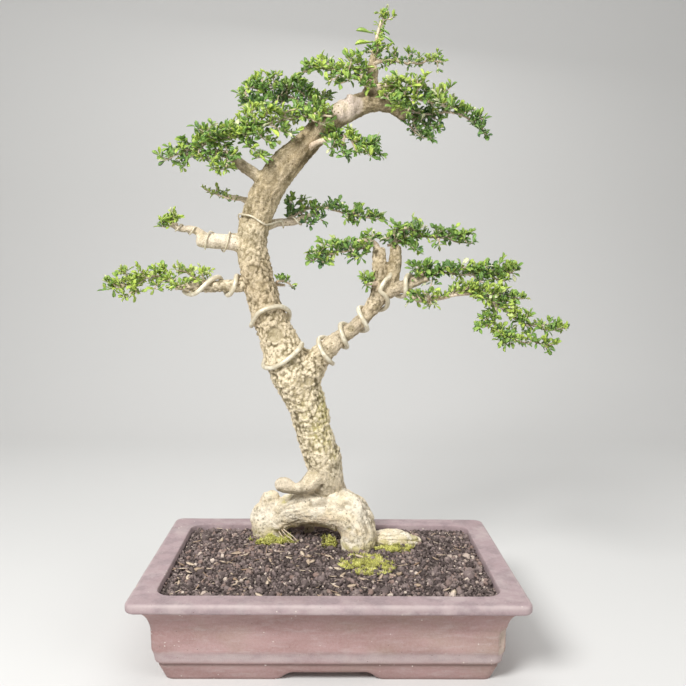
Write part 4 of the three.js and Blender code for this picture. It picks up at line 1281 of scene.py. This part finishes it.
def makeMoss(node):
    x, y, reachX, reachY, height = moss["cushions"][node]
    # the cushion: a dome 1 - r^2, its height broken up by waves, sunk a little at its edge
    turn = np.arange(moss["sides"]) * 2 * np.pi / moss["sides"]
    ring, turn = np.meshgrid(np.linspace(0.02, 1, moss["rings"]), turn, indexing="ij")
    cosine, sine = np.cos(turn), np.sin(turn)
    edge = 1 + 0.28 * layeredWaves(np.stack([cosine, sine, 0 * turn], -1) * 3 + x, 1.4, 5)
    places = np.stack([x + reachX * ring * edge * cosine, y + reachY * ring * edge * sine, 0 * ring], -1)
    flat, out = places.reshape(-1, 3), ring.ravel() ** 2
    flat[:, 2] = soilHeight(flat) + height * (1 - out) * (0.45 + layeredWaves(flat, 5, 31)) - 1.8 * out - 0.9
    rings = flat.reshape(places.shape)[::-1]
    under = rings[:1].copy()
    under[..., 2] -= 2.5
    points, faces = closedRings(np.vstack([under, rings]))
    body = (points, faces, np.full(len(points), 0.05))
    # blades: thin three-sided spikes, in clumps
    count, spreadX, spreadY, climb = moss["blades"][node]
    angle, far = rng.uniform(0, 2 * np.pi, count), np.sqrt(rng.random(count))
    roots = np.column_stack([x + spreadX * far * np.cos(angle), y + spreadY * far * np.sin(angle), 0 * far])
    clump = layeredWaves(roots, 5.5, 97)
    keep = (clump > -0.12 + 0.5 * far**2 + rng.normal(0, 0.16, count)) & (edgeDistance(roots) > 1)
    roots, clump, far = roots[keep], clump[keep], far[keep]
    count = len(roots)
    inside = np.hypot((roots[:, 0] - x) / reachX, (roots[:, 1] - y) / reachY)
    share = np.clip(1 - inside**2, 0, 1)
    roots[:, 2] = soilHeight(roots) + height * share * (0.5 + 0.6 * layeredWaves(roots, 6, 31)) + 0.6
    roots[:, 2] += climb * rng.random(count) * ramp(clump, 0.0, 0.6)
    turns = randomTurns(count, moss["lean"])
    length = rng.uniform(*moss["length"], count)
    axes = turns * (length[:, None] * [moss["width"], moss["width"], 1])[:, :, None]
    spike = np.array([[1, 0, 0], [-0.5, 0.87, 0], [-0.5, -0.87, 0], [0, 0, 1]])
    spikeFaces = np.array([[0, 1, 3], [1, 2, 3], [2, 0, 3], [0, 2, 1]])
    points, faces = scattered(spike, [spikeFaces], roots, axes)
    tone = 0.4 + 0.9 * clump + 0.6 * layeredWaves(roots, 12, 15) + rng.uniform(-0.45, 0.45, count)
    tone = np.clip(tone, 0, 1)
    tone = np.repeat(tone, 4) * np.tile([0.6, 0.6, 0.6, 1.0], count)
    points, faces, tone = joined([body, (points, faces, tone)])
    name = "moss" + node.split("_")[1].capitalize()
    addPiece(name, meshOf(name, points, faces, marks=dict(tone=tone)), materials["moss"], [node])


print("moss")
for node in moss["cushions"]:
    makeMoss(node)


# each spray's reach to the front and back, its leaf length, and how light it is
sprays = dict(
    crown_left_low=[16, 8.2, 0.34], crown_left_top=[14, 8.6, 0.2], crown_middle=[9, 8.4, 0.3],
    crown_tip=[5, 6.5, 0.35], crown_tip_right=[6, 6.2, 0.35], crown_right_top=[10, 8, 0.35],
    crown_right_low=[10, 7.8, 0.15], crown_under=[8, 8, 0.2], back_left=[4, 5.6, 0.45], back_right=[9, 8, 0.1],
    left_tip=[6, 8, 0.45], left_low=[11, 7.4, 0.5], trunk_sprig=[4, 6.5, 0.3], right_top_left=[10, 7.8, 0.2],
    right_top_right=[11, 7.8, 0.2], branch_sprig=[4, 8, 0.3], right_low=[13, 8, 0.2], right_under=[10, 7, 0.4],
    cascade=[9, 7.6, 0.35], cascade_low=[8, 7.8, 0.3],
)
foliage = dict(
    # leaves: width as a share of length, and the curl and fold of each kind
    twigPace=7.0, tuftPace=4.8, leavesPerTuft=(2, 3),
    width=0.45, thickness=0.06, kinds=[(0.10, 0.14), (0.22, 0.09), (0.02, 0.2)],
    # how much a leaf points along its twig, at random and up
    lean=(0.8, 0.9, 0.38),
    # how much lighter leaves are above, towards a twig's end, in clouds and by chance; the share of buds
    lighter=(0.22, 0.3, 0.42, 0.16), buds=0.03,
    twigSides=5, bearerSides=9, firstTwig=(1.7, 0.8), twigRadius=(1.1, 0.5), sideTwig=(0.6, 0.3),
    # the twigs of each spray as x,y,height places, with a stroke between two twigs
    twigs={
        "crown_left_low": "3,24,443 -16,24,442 -34,24,441 -51,24,438 -68,24,434 -83,24,430 / "
            "-71,24,432 -88,25,428 -104,25,421 -120,26,416 -136,27,411 -152,27,405 -168,28,397 / "
            "-120,26,416 -124,18,420 -128,10,426 / -102,28,422 -105,34,431 -99,40,438 / "
            "-86,26,430 -87,30,441 -82,34,451 / -76,26,432 -69,21,441 -63,16,446 / "
            "-51,24,438 -46,18,445 -37,12,447 / -64,24,434 -53,19,427 -43,14,423 / "
            "-83,24,430 -71,19,420 -65,14,415 / -98,26,422 -83,20,411 -71,14,399 / "
            "-118,27,415 -117,22,401 -114,16,387 / -108,27,416 -106,20,401 -106,14,389 / "
            "-142,28,408 -145,24,399 -150,20,390 / -134,27,411 -145,32,412 -153,36,413 / "
            "-128,27,414 -135,22,405 -128,16,397 / -120,26,416 -112,32,427 -109,38,432 / "
            "-34,24,441 -24,29,448 -14,34,448 / -24,24,441 -16,18,435 -8,12,433 / "
            "-102,26,421 -93,19,425 -86,12,418 / -112,26,418 -121,35,421 -130,44,419",
        "crown_left_top": "-8,58,451 -16,59,461 -29,59,472 -44,60,478 -60,61,478 -75,61,477 -89,62,478 / "
            "-29,60,472 -32,56,477 -35,52,482 / -60,62,479 -62,58,485 -63,54,488 / "
            "-73,62,478 -75,66,486 -76,70,491 / -87,62,478 -91,59,473 -88,56,462 / "
            "-79,62,477 -81,57,466 -86,52,457 / -66,60,477 -68,55,466 -74,50,459 / "
            "-50,60,477 -50,64,468 -56,68,463 / -46,60,478 -43,56,483 -33,52,480 / "
            "-35,58,475 -29,54,466 -35,50,459 / -23,58,467 -12,62,468 -6,66,468 / "
            "-48,58,473 -56,55,468 -64,52,457",
        "crown_middle": "37,36,477 26,34,481 14,33,485 2,31,489 -16,30,490 -31,28,486 / "
            "-16,28,489 -22,25,492 -28,22,490 / -4,28,488 -6,31,495 -12,34,498 / "
            "11,28,485 16,24,492 18,20,498 / 18,30,482 12,27,477 6,24,474 / 6,30,487 2,26,480 -6,22,476 / "
            "28,32,480 28,29,487 24,26,494 / 24,32,480 30,27,473 36,22,470 / 32,32,478 36,35,487 32,38,493",
        "crown_tip": "42,40,500 44,40,510 45,39,519 47,39,531 49,38,541 52,38,549 / "
            "49,38,541 54,37,541 58,36,542 / 50,38,544 47,38,547 46,38,547 / 44,40,510 50,37,512 54,34,513 / "
            "43,40,504 38,37,507 37,34,510 / 45,39,515 40,42,514 38,44,511",
        "crown_tip_right": "47,42,501 59,43,503 71,45,501 86,46,501 98,48,504 111,49,503 / "
            "67,48,502 64,46,506 61,44,507 / 78,48,503 75,45,506 76,42,508 / 86,48,502 88,46,505 88,44,507 / "
            "96,49,504 101,50,508 105,52,510 / 105,49,504 106,47,499 106,46,496 / "
            "63,48,503 57,44,499 53,40,496",
        "crown_right_top": "50,36,471 62,33,468 75,30,464 88,28,460 102,25,456 118,22,452 / "
            "52,30,470 58,26,476 64,22,478 / 80,22,460 83,18,468 81,14,477 / 83,22,471 86,20,474 87,18,476 / "
            "108,22,454 110,23,463 111,24,470 / 70,22,463 71,18,470 77,14,471 / "
            "56,28,468 54,22,461 58,16,453 / "
            "62,26,465 64,20,456 59,14,450 / 58,26,467 62,29,474 54,32,476 / 78,22,461 76,18,452 73,14,446 / "
            "94,22,457 98,26,466 93,30,469 / 110,22,454 106,26,462 108,30,467",
        "crown_right_low": "72,40,457 84,41,451 99,43,450 115,44,452 130,45,450 143,47,444 158,48,433 / "
            "116,48,453 121,45,458 129,42,456 / 130,48,450 138,46,454 141,44,453 / "
            "143,48,444 151,45,447 153,42,444 / 147,48,441 152,46,434 158,44,430 / "
            "85,46,452 90,42,443 94,38,436 / 95,46,450 99,42,440 102,38,434 / 80,44,452 82,39,439 86,34,430 / "
            "78,44,438 88,39,427 100,34,423 / 99,46,448 109,43,442 107,40,437",
        "crown_under": "-12,34,429 -3,25,421 3,16,414 / -2,28,428 12,24,423 22,21,418 34,18,413 46,14,403 / "
            "11,14,421 9,12,411 12,10,401 / 22,14,417 18,16,422 16,18,426 / 28,14,414 32,11,407 37,8,402 / "
            "32,14,412 38,16,416 43,18,415 / 2,14,417 -1,12,411 0,10,406 / 18,14,418 22,11,408 26,8,404",
        "back_left": "-91,60,362 -106,62,363 -121,63,367 -130,64,370 -135,66,373 / "
            "-120,64,367 -122,62,371 -123,60,373 / -111,64,364 -113,66,368 -115,68,370",
        "back_right": "-50,74,340 -39,75,349 -24,76,356 -7,76,356 10,77,352 30,78,348 53,79,344 / "
            "-39,78,349 -46,74,357 -43,70,362 / -29,78,355 -33,75,361 -34,72,364 / "
            "-20,79,356 -16,77,347 -11,74,342 / -7,80,356 1,83,361 8,86,359 / "
            "-35,80,352 -29,77,342 -23,74,338 / 10,81,352 19,78,346 24,76,342 / "
            "21,82,350 28,85,355 33,88,354 / "
            "36,82,347 45,80,348 50,78,349",
        "left_tip": "-159,40,333 -167,39,337 -173,38,336 / -163,40,335 -164,37,339 -160,34,341 / "
            "-165,39,333 -171,41,331 -176,44,332",
        "left_low": "-158,31,272 -170,31,278 -182,30,281 -194,30,278 -206,29,273 -219,29,268 / "
            "-176,30,280 -182,32,285 -175,34,289 / -188,30,280 -196,28,274 -203,26,266 -210,24,260 / "
            "-200,29,275 -199,26,267 -200,22,262 / -204,29,274 -208,32,281 -214,34,285 / "
            "-216,29,269 -223,28,273 -228,26,275 / -135,32,276 -143,29,282 -150,25,286 -158,22,288 / "
            "-129,32,275 -134,36,283 -132,40,287 / -145,32,274 -153,26,272 -161,20,270 / "
            "-170,30,278 -177,26,273 -180,22,269 / -164,31,275 -166,35,283 -171,38,288 / "
            "-194,30,278 -191,27,284 -187,24,286 / -212,29,271 -220,32,272 -225,36,268",
        "trunk_sprig": "-58,46,276 -51,51,278 -45,55,274 -41,60,271 / -52,60,277 -55,58,281 -54,56,282",
        "right_top_left": "41,38,315 24,39,311 6,40,308 -9,41,303 -22,42,299 / 6,40,308 0,37,314 -6,34,316 / "
            "14,40,310 10,43,315 5,46,317 / -7,41,304 -13,38,309 -16,36,309 / "
            "-11,41,302 -17,42,304 -20,44,305 / -13,41,302 -11,38,298 -7,36,297 / "
            "24,39,311 20,36,306 18,32,304 / 33,39,314 32,36,307 28,32,302 / 29,39,312 26,42,319 30,46,322 / "
            "37,38,315 41,35,323 43,32,326 / 18,39,310 18,44,317 20,48,320",
        "right_top_right":
            "58,46,315 70,45,320 83,45,324 95,44,325 110,44,324 124,43,325 135,43,326 142,42,329 / "
            "66,44,319 64,41,327 62,38,331 / 76,43,321 74,40,329 70,36,333 / 83,43,323 83,46,333 86,48,339 / "
            "91,43,325 86,40,330 90,36,332 / 107,42,324 109,39,329 112,36,331 / "
            "118,42,325 122,43,330 125,44,333 / 109,42,324 111,39,319 110,36,316 / "
            "120,42,324 129,44,320 136,46,319 / 134,42,326 137,39,322 139,36,319 / "
            "72,44,320 80,41,315 86,39,312 89,36,309 / 64,44,317 61,39,322 56,34,323 / "
            "68,44,319 77,48,326 81,52,328",
        "branch_sprig": "43,34,279 37,28,281 30,22,280 / 40,30,278 37,25,275 35,20,274",
        "right_low": "84,32,278 94,32,284 109,32,288 125,32,287 142,31,286 158,31,286 173,31,288 186,31,289 / "
            "92,32,283 90,28,290 86,24,294 / 99,32,285 97,29,293 98,26,296 / 94,32,283 89,36,285 86,40,284 / "
            "111,32,288 114,28,293 121,24,294 / 127,31,287 131,28,292 135,24,293 / "
            "140,31,286 144,34,291 150,36,292 / 152,31,286 155,27,292 157,24,294 / "
            "162,31,286 167,33,293 170,36,295 / 173,31,288 177,28,293 181,26,296 / "
            "181,31,288 185,34,291 189,36,292 / 162,31,286 170,28,281 177,24,280 / "
            "146,31,285 149,26,280 154,22,278 / 105,31,286 102,26,279 100,22,274",
        "right_under": "80,20,263 93,18,258 105,17,261 121,15,267 137,14,269 151,12,269 / "
            "84,12,262 81,10,260 79,8,259 / 89,12,260 86,9,266 85,6,268 / 97,12,259 96,10,265 96,8,267 / "
            "99,12,259 98,9,255 97,6,254 / 121,12,267 125,15,273 128,18,276 / 131,12,268 136,9,274 139,6,276 / "
            "139,12,269 145,10,273 150,8,275 / 143,12,269 148,8,265 149,4,263 / "
            "127,12,268 133,15,271 140,18,271",
        "cascade":
            "153,14,274 161,14,266 170,14,258 178,13,251 184,13,243 195,13,236 207,13,235 219,12,231 "
            "227,12,232 234,12,233 / "
            "161,13,266 171,11,267 181,10,264 187,8,263 193,6,263 / 155,13,271 150,8,266 154,4,261 / "
            "163,13,264 170,15,270 175,18,273 / 169,12,258 177,9,257 180,6,252 / "
            "171,12,257 178,15,260 183,18,257 / 190,12,239 193,9,242 196,6,245 / "
            "223,12,231 226,10,236 228,8,238 / 211,12,233 214,10,236 218,8,237 / "
            "163,12,264 158,8,259 156,4,258 / 180,12,249 185,10,247 188,8,245",
        "cascade_low":
            "166,12,255 164,11,247 164,10,238 167,10,230 175,9,224 184,8,222 194,8,219 204,7,219 214,6,217 / "
            "163,8,245 156,5,243 152,2,243 / 163,8,239 154,5,236 147,2,233 / 166,6,230 171,3,228 173,0,225 / "
            "173,6,224 171,2,219 171,-2,218 / 179,6,222 179,3,218 179,0,218 / 195,6,220 199,8,225 202,10,228 / "
            "213,5,216 218,4,218 222,2,217 / 214,5,215 218,6,213 220,6,209 / 183,6,222 182,9,226 181,12,229",
    },
    # single leaves: from, to, width as a share of length, tone
    leaves={
        "crown_tip": [
            [39, 39, 528, 22, 37, 530, 0.32, 0.7], [39, 38, 519, 21, 36, 516, 0.36, 0.85],
            [45, 38, 533, 56, 36, 527, 0.42, 0.55], [45, 38, 527, 62, 36, 520, 0.44, 0.6],
            [47, 37, 521, 38, 35, 513, 0.4, 0.5], [52, 38, 549, 52, 36, 556, 0.22, 1.25],
            [54, 37, 541, 61, 35, 543, 0.24, 1.3], [47, 38, 546, 43, 36, 547, 0.24, 1.2],
        ],
        "crown_left_low": [
            [-168, 28, 397, -176, 26, 398, 0.36, 1.4], [-170, 28, 399, -173, 26, 404, 0.3, 1.4],
            [-114, 16, 389, -111, 14, 381, 0.34, 0.9], [-106, 14, 389, -108, 12, 381, 0.34, 0.8],
            [-76, 12, 404, -66, 10, 396, 0.3, 0.9], [-63, 12, 428, -54, 10, 419, 0.5, 0.95],
        ],
        "right_under": [[80, 8, 260, 72, 6, 255, 0.5, 1.3], [86, 6, 266, 81, 4, 271, 0.4, 0.8]],
        "cascade_low": [
            [208, 4, 220, 213, 2, 228, 0.85, 1], [152, 2, 236, 142, 0, 230, 0.42, 0.7],
            [170, 0, 231, 172, -2, 223, 0.6, 0.85], [171, 0, 224, 168, -2, 215, 0.5, 0.8],
        ],
        "cascade": [
            [202, 8, 236, 193, 6, 244, 0.4, 0.75], [233, 10, 234, 239, 8, 234, 0.4, 1.2],
            [226, 8, 236, 231, 6, 241, 0.4, 0.9], [192, 6, 263, 199, 4, 262, 0.35, 1.3],
        ],
        "crown_tip_right": [[106, 45, 498, 106, 43, 490, 0.3, 1.3], [110, 48, 503, 114, 46, 503, 0.4, 1.3]],
        "right_low": [[180, 24, 295, 183, 22, 300, 0.4, 0.8], [187, 36, 290, 194, 34, 292, 0.4, 1]],
        "left_low": [[-225, 26, 273, -233, 24, 277, 0.3, 1.2], [-209, 22, 261, -212, 20, 255, 0.4, 1]],
        "crown_right_top": [
            [64, 22, 477, 66, 20, 481, 0.3, 1.1], [110, 22, 467, 111, 20, 475, 0.4, 1.05],
            [81, 14, 475, 79, 12, 481, 0.3, 1.15],
        ],
        "back_left": [[-134, 66, 372, -139, 64, 376, 0.35, 1.1]],
    },
    # twigs that carry each spray from the wood: points and radius
    bearers=[
        [[-118, 31, 407, 2.4], [-134, 29, 405, 2.0], [-150, 28, 403, 1.6]],
        [[-8, 42, 436, 4], [-16, 52, 448, 3], [-26, 60, 458, 2.2], [-40, 63, 467, 1.6], [-58, 64, 471, 1.2]],
        [[-14, 40, 432, 3], [-26, 50, 446, 2], [-38, 56, 462, 1.4]],
        [[38, 38, 484, 3.2], [30, 34, 483, 2.4], [20, 30, 481, 1.8]],
        [[41, 40, 512, 2], [43, 39, 525, 1.7], [47, 38, 540, 1.3]],
        [[38, 38, 497, 3], [48, 43, 502, 2.2], [60, 48, 503, 1.8]],
        [[38, 37, 470, 5], [48, 30, 474, 3], [58, 25, 475, 2]],
        [[70, 40, 450, 6], [80, 45, 447, 3.4], [92, 48, 444, 2.2]],
        [[-26, 34, 412, 4], [-14, 22, 417, 2.6], [0, 14, 418, 1.8]],
        [[47, 38, 306, 5], [44, 38, 316, 3.4], [34, 39, 321, 2.4], [24, 40, 318, 1.8]],
        [[66, 41, 310, 4.5], [64, 44, 324, 3.2], [70, 45, 332, 2.4], [84, 43, 333, 1.8]],
        [[88, 31, 279, 4.2], [96, 32, 287, 3], [110, 32, 291, 2]],
        [[94, 25, 263, 2.8], [102, 18, 262, 2.2], [112, 12, 263, 1.8]],
        [[96, 24, 263, 2.6], [108, 18, 262, 2.4], [124, 15, 266, 2.2], [142, 14, 267, 2.1], [156, 14, 264, 2.0],
         [168, 14, 256, 1.9], [178, 13, 249, 1.6]],
        [[157, 14, 263, 1.9], [165, 12, 254, 1.7], [163, 11, 245, 1.6], [165, 9, 234, 1.5], [171, 7, 226, 1.3]],
        [[164, 10, 239, 1.4], [157, 7, 236, 1.2], [150, 4, 234, 1.0]],
        [[50, 36, 277, 4], [42, 26, 276, 2.2], [34, 21, 275, 1.4]],
        [[-68, 52, 268, 4], [-60, 58, 273, 2], [-50, 62, 273, 1.4]],
    ],
)


def leafShape(curl, fold):
    # seven rows from stalk to tip: width along it, folded up at the sides, its tip curled down
    along = np.array([0, 0.16, 0.34, 0.52, 0.70, 0.86, 1.0])
    half = np.array([0.10, 0.22, 0.55, 0.86, 1.0, 0.80, 0.20])
    section = np.array([[1, 0], [0.5, 0.5], [0, 0.25], [-0.5, 0.5], [-1, 0], [0, -0.5]])
    side = half[:, None] * section[:, 0]
    # height = fold |side| - curl along^2 + half the thickness times the section
    height = fold * np.abs(side) - curl * along[:, None] ** 2 + section[:, 1] * foliage["thickness"]
    rows = np.stack([np.broadcast_to(along[:, None], side.shape), side, height], -1)
    points, faces = closedRings(rows)
    uv = np.column_stack([points[:, 0], 0.5 + 0.5 * points[:, 1]])
    return points, faces, uv


def twigPath(start, heading, length, rise, wander):
    # from start towards heading, bending up by rise and wandering a little
    share = np.linspace(0, 1, 6)[:, None]
    bend = up * rise * share**2 * length
    wander = wander * rng.normal(size=(6, 3)) * np.sqrt(share)
    return start + heading * length * share + bend + wander


def alongPath(path, distance):
    # the place and the heading at this distance along a path
    run = runOf(path)
    place = np.array([np.interp(distance, run, path[:, k]) for k in range(3)])
    step = min(max(int(np.searchsorted(run, distance)), 1), len(run) - 1)
    return place, unit(path[step] - path[step - 1])


def growSpray(node, across):
    # the given twigs, and short ones from them to the front and back; then leaf places on all of them
    paths = []
    for text in foliage["twigs"][node].split(" / "):
        route = np.array([place.split(",") for place in text.split()], float) + up * rimTop
        path, _ = curveAt(route, evenStations(route, 3.0))
        path = path + rng.normal(size=path.shape) * 0.45
        paths.append((path, *foliage["twigRadius" if paths else "firstTwig"]))
    for path, _, _ in list(paths):
        length = runOf(path)[-1]
        for distance in np.arange(0.3 * foliage["twigPace"], length, foliage["twigPace"]):
            place, ahead = alongPath(path, distance + rng.uniform(-1, 1))
            level = unit(np.cross(ahead, up) + 1e-3)
            side = rng.choice([-1, 1])
            for way in (side, -side)[: 1 + (rng.random() < 0.7)]:
                heading = unit(way * level + ahead * rng.uniform(0.0, 0.7) + up * rng.uniform(-0.2, 0.4))
                reach = min(across, 0.3 * across + 0.4 * length) * rng.uniform(0.35, 0.9)
                paths.append((twigPath(place, heading, reach, 0.3 * rng.random(), 0.4), *foliage["sideTwig"]))
    roots, forward, rank = [], [], []
    for path, _, _ in paths:
        length = runOf(path)[-1]
        for distance in np.arange(length, 1.2, -foliage["tuftPace"] * rng.uniform(0.85, 1.15)):
            point, ahead = alongPath(path, distance)
            number = rng.integers(*foliage["leavesPerTuft"], endpoint=True) + (distance == length)
            roots += [point] * number
            forward += [ahead] * number
            rank += [distance / length] * number
    return paths, np.array(roots), np.array(forward), np.array(rank)


def makeSpray(node):
    across, leafLength, bright = sprays[node]
    paths, roots, forward, rank = growSpray(node, across)
    count = len(roots)
    # each leaf leans off its twig and upwards, and its face turns up
    ahead, astray, upwards = foliage["lean"]
    lean = unit(forward * ahead + astray * unit(rng.normal(size=(count, 3))) + up * upwards)
    length = leafLength * rng.uniform(0.6, 1.25, count)
    width = foliage["width"] * length / 2 * rng.uniform(0.8, 1.2, count)
    # young leaves are at the twigs' ends and on the upper side, old ones below and inside
    height = (roots[:, 2] - roots[:, 2].min()) / max(np.ptp(roots[:, 2]), 1)
    above, outward, clouds, chance = foliage["lighter"]
    tone = bright + above * height + outward * rank + clouds * layeredWaves(roots, 15, 44)
    tone = np.clip(tone + rng.normal(0, chance, count), 0, 1.15)
    tone = np.where(rng.random(count) < foliage["buds"], 1.3, tone)
    # and the single ones
    single = foliage["leaves"].get(node, [])
    if single:
        single = np.array(single, float)
        start, reach = single[:, :3] + up * rimTop, np.linalg.norm(single[:, 3:6] - single[:, :3], axis=1)
        roots, lean = np.vstack([roots, start]), np.vstack([lean, unit(single[:, 3:6] - single[:, :3])])
        length = np.concatenate([length, reach])
        width = np.concatenate([width, reach / 2 * single[:, 6]])
        tone = np.concatenate([tone, single[:, 7]])
    count = len(roots)
    face = unit(up + [0, -0.5, 0] + 0.6 * rng.normal(size=(count, 3)))
    face = unit(face - lean * np.sum(face * lean, -1, keepdims=True))
    cross = np.cross(face, lean)
    axes = np.stack([lean * length[:, None], cross * width[:, None], face * length[:, None]], axis=1)
    kind = rng.integers(0, 3, count)
    bodies, uvs = [], []
    for k, (curl, fold) in enumerate(foliage["kinds"]):
        shape, shapeFaces, uv = leafShape(curl, fold)
        chosen = kind == k
        points, faces = scattered(shape, shapeFaces, roots[chosen], axes[chosen])
        bodies.append((points, faces, np.repeat(tone[chosen], len(shape))))
        uvs.append(np.tile(uv, (chosen.sum(), 1)))
    points, faces, tone = joined(bodies)
    name = "leaves" + "".join(word.capitalize() for word in node.split("_"))
    mesh = meshOf(name, points, faces, marks=dict(tone=tone), uv=np.vstack(uvs))
    addPiece(name, mesh, materials["leaf"], ["leaves_" + node])
    return paths, count


def guideFor(along):
    # straight up, or X where the path starts nearly upright
    return np.where(abs(along[:1, 2]) > 0.8, np.array([1.0, 0, 0]), up)


def makeTwigs(twigs):
    # each twig a thin tube that narrows to its end
    bodies = []
    for path, thick, thin in twigs:
        place, along = curveAt(path, evenStations(path, 3.5))
        share = np.linspace(0, 1, len(place))
        radius = (thick + (thin - thick) * share) * (1 + 0.12 * waves(place, 3, 8))
        bodies.append(tube(place, along, guideFor(along), radius, foliage["twigSides"]))
    for bearer in foliage["bearers"]:
        place, along, radius = pathOf(bearer, pacesOf(bearer, 2.5))
        radius = radius * (1 + 0.14 * layeredWaves(place, 6, 8))
        bodies.append(tube(place, along, guideFor(along), radius, foliage["bearerSides"]))
    points, faces = gather(bodies)
    addPiece("twigs", meshOf("twigs", points, faces), materials["twig"])


# fine roots hanging from the left end of the stone to the soil: points and radius
hairRoots = [
    [[-52, 54, 9, 0.7], [-48, 51, 5, 0.6], [-42, 49, 1, 0.55], [-35, 46, -4, 0.4]],
    [[-50, 53, 10, 0.6], [-45, 50, 7, 0.55], [-40, 48, 4, 0.5], [-33, 47, -3, 0.4]],
    [[-55, 54, 7, 0.6], [-50, 50, 2, 0.6], [-44, 47, -2, 0.5], [-40, 45, -6, 0.4]],
    [[-70, 46, -3, 0.9], [-60, 41, -2, 0.9], [-50, 38, -3, 0.8], [-42, 36, -5, 0.6]],
]


def makeHairRoots():
    bodies = []
    for root in hairRoots:
        place, along, radius = pathOf(root, pacesOf(root, 1.5))
        bodies.append(tube(place, along, up, radius, 6))
    points, faces = gather(bodies)
    addPiece("hairRoots", meshOf("hairRoots", points, faces), materials["twig"])


makeHairRoots()
print("foliage")
allTwigs, leafCount = [], 0
for node in sprays:
    paths, count = makeSpray(node)
    allTwigs += paths
    leafCount += count
makeTwigs(allTwigs)
print("  leaves", leafCount, "twigs", len(allTwigs))

studio = dict(
    floor=colour(0.62, 0.615, 0.60), world=0.30,
    # the floor: how far back it is flat, the radius of its curve, its height and half its width
    sweep=[0.9, 0.6, 2.4, 3.0],
    # place, aim, width, power in watts
    lights=[[(-0.75, -1.15, 1.35), (0, 0, 0.3), 0.7, 40], [(1.1, -0.9, 0.8), (0, 0, 0.3), 1.0, 8],
            [(0.1, 0.9, 1.5), (0, 0, 0.35), 1.2, 10]],
)


def makeStage():
    # a floor that curves up behind: flat, a quarter circle, upright
    turn = np.linspace(0, np.pi / 2, 16)
    far, bend, high, wide = studio["sweep"]
    y = np.concatenate([[-3.0], far + bend * np.sin(turn), [far + bend]])
    z = np.concatenate([[0.0], bend - bend * np.cos(turn), [high]])
    points = np.array([[x, b, c] for x in (-wide, wide) for b, c in zip(y, z)])
    count = len(y)
    k = np.arange(count - 1)
    faces = np.stack([k, k + count, k + count + 1, k + 1], -1)
    mesh = bpy.data.meshes.new("floor")
    mesh.from_pydata(points.tolist(), [], faces.tolist())
    mesh.polygons.foreach_set("use_smooth", np.full(len(faces), True))
    mesh.materials.append(newMaterial("floor", Base_Color=studio["floor"], Roughness=0.9)[0])
    placed("floor", mesh)


def makeLights():
    for k, (place, aim, wide, power) in enumerate(studio["lights"]):
        light = bpy.data.lights.new(f"light{k}", "AREA")
        light.shape, light.size, light.energy = "DISK", wide, power
        holder = placed(f"light{k}", light)
        holder.location = place
        holder.rotation_euler = (Vector(aim) - Vector(place)).to_track_quat("-Z", "Y").to_euler()
    world = bpy.data.worlds.new("studio")
    world.use_nodes = True
    background = world.node_tree.nodes["Background"].inputs
    background["Strength"].default_value = studio["world"]
    background["Color"].default_value = (1, 1, 1, 1)
    bpy.context.scene.world = world


camera = dict(place=[-2.6, -781.9, 365.9], yaw=1.02, pitch=4.95, roll=0.62, sensor=36, lens=41.4577)


def makeCamera():
    yaw, pitch, roll = (math.radians(camera[key]) for key in ("yaw", "pitch", "roll"))
    ahead = np.array([math.sin(yaw) * math.cos(pitch), math.cos(yaw) * math.cos(pitch), -math.sin(pitch)])
    right = np.array([math.cos(yaw), -math.sin(yaw), 0])
    above = np.cross(right, ahead)
    right, above = (math.cos(roll) * right + math.sin(roll) * above,
                    math.cos(roll) * above - math.sin(roll) * right)
    lens = bpy.data.cameras.new("camera")
    lens.lens, lens.sensor_width, lens.clip_start = camera["lens"], camera["sensor"], 0.05
    holder = placed("camera", lens)
    place = toFrame(camera["place"])
    rows = [[right[k], above[k], -ahead[k], place[k]] for k in range(3)] + [[0, 0, 0, 1]]
    holder.matrix_world = Matrix(rows)
    bpy.context.scene.camera = holder


print("studio")
makeStage()
makeLights()
makeCamera()
bpy.context.scene.view_settings.view_transform = "Standard"
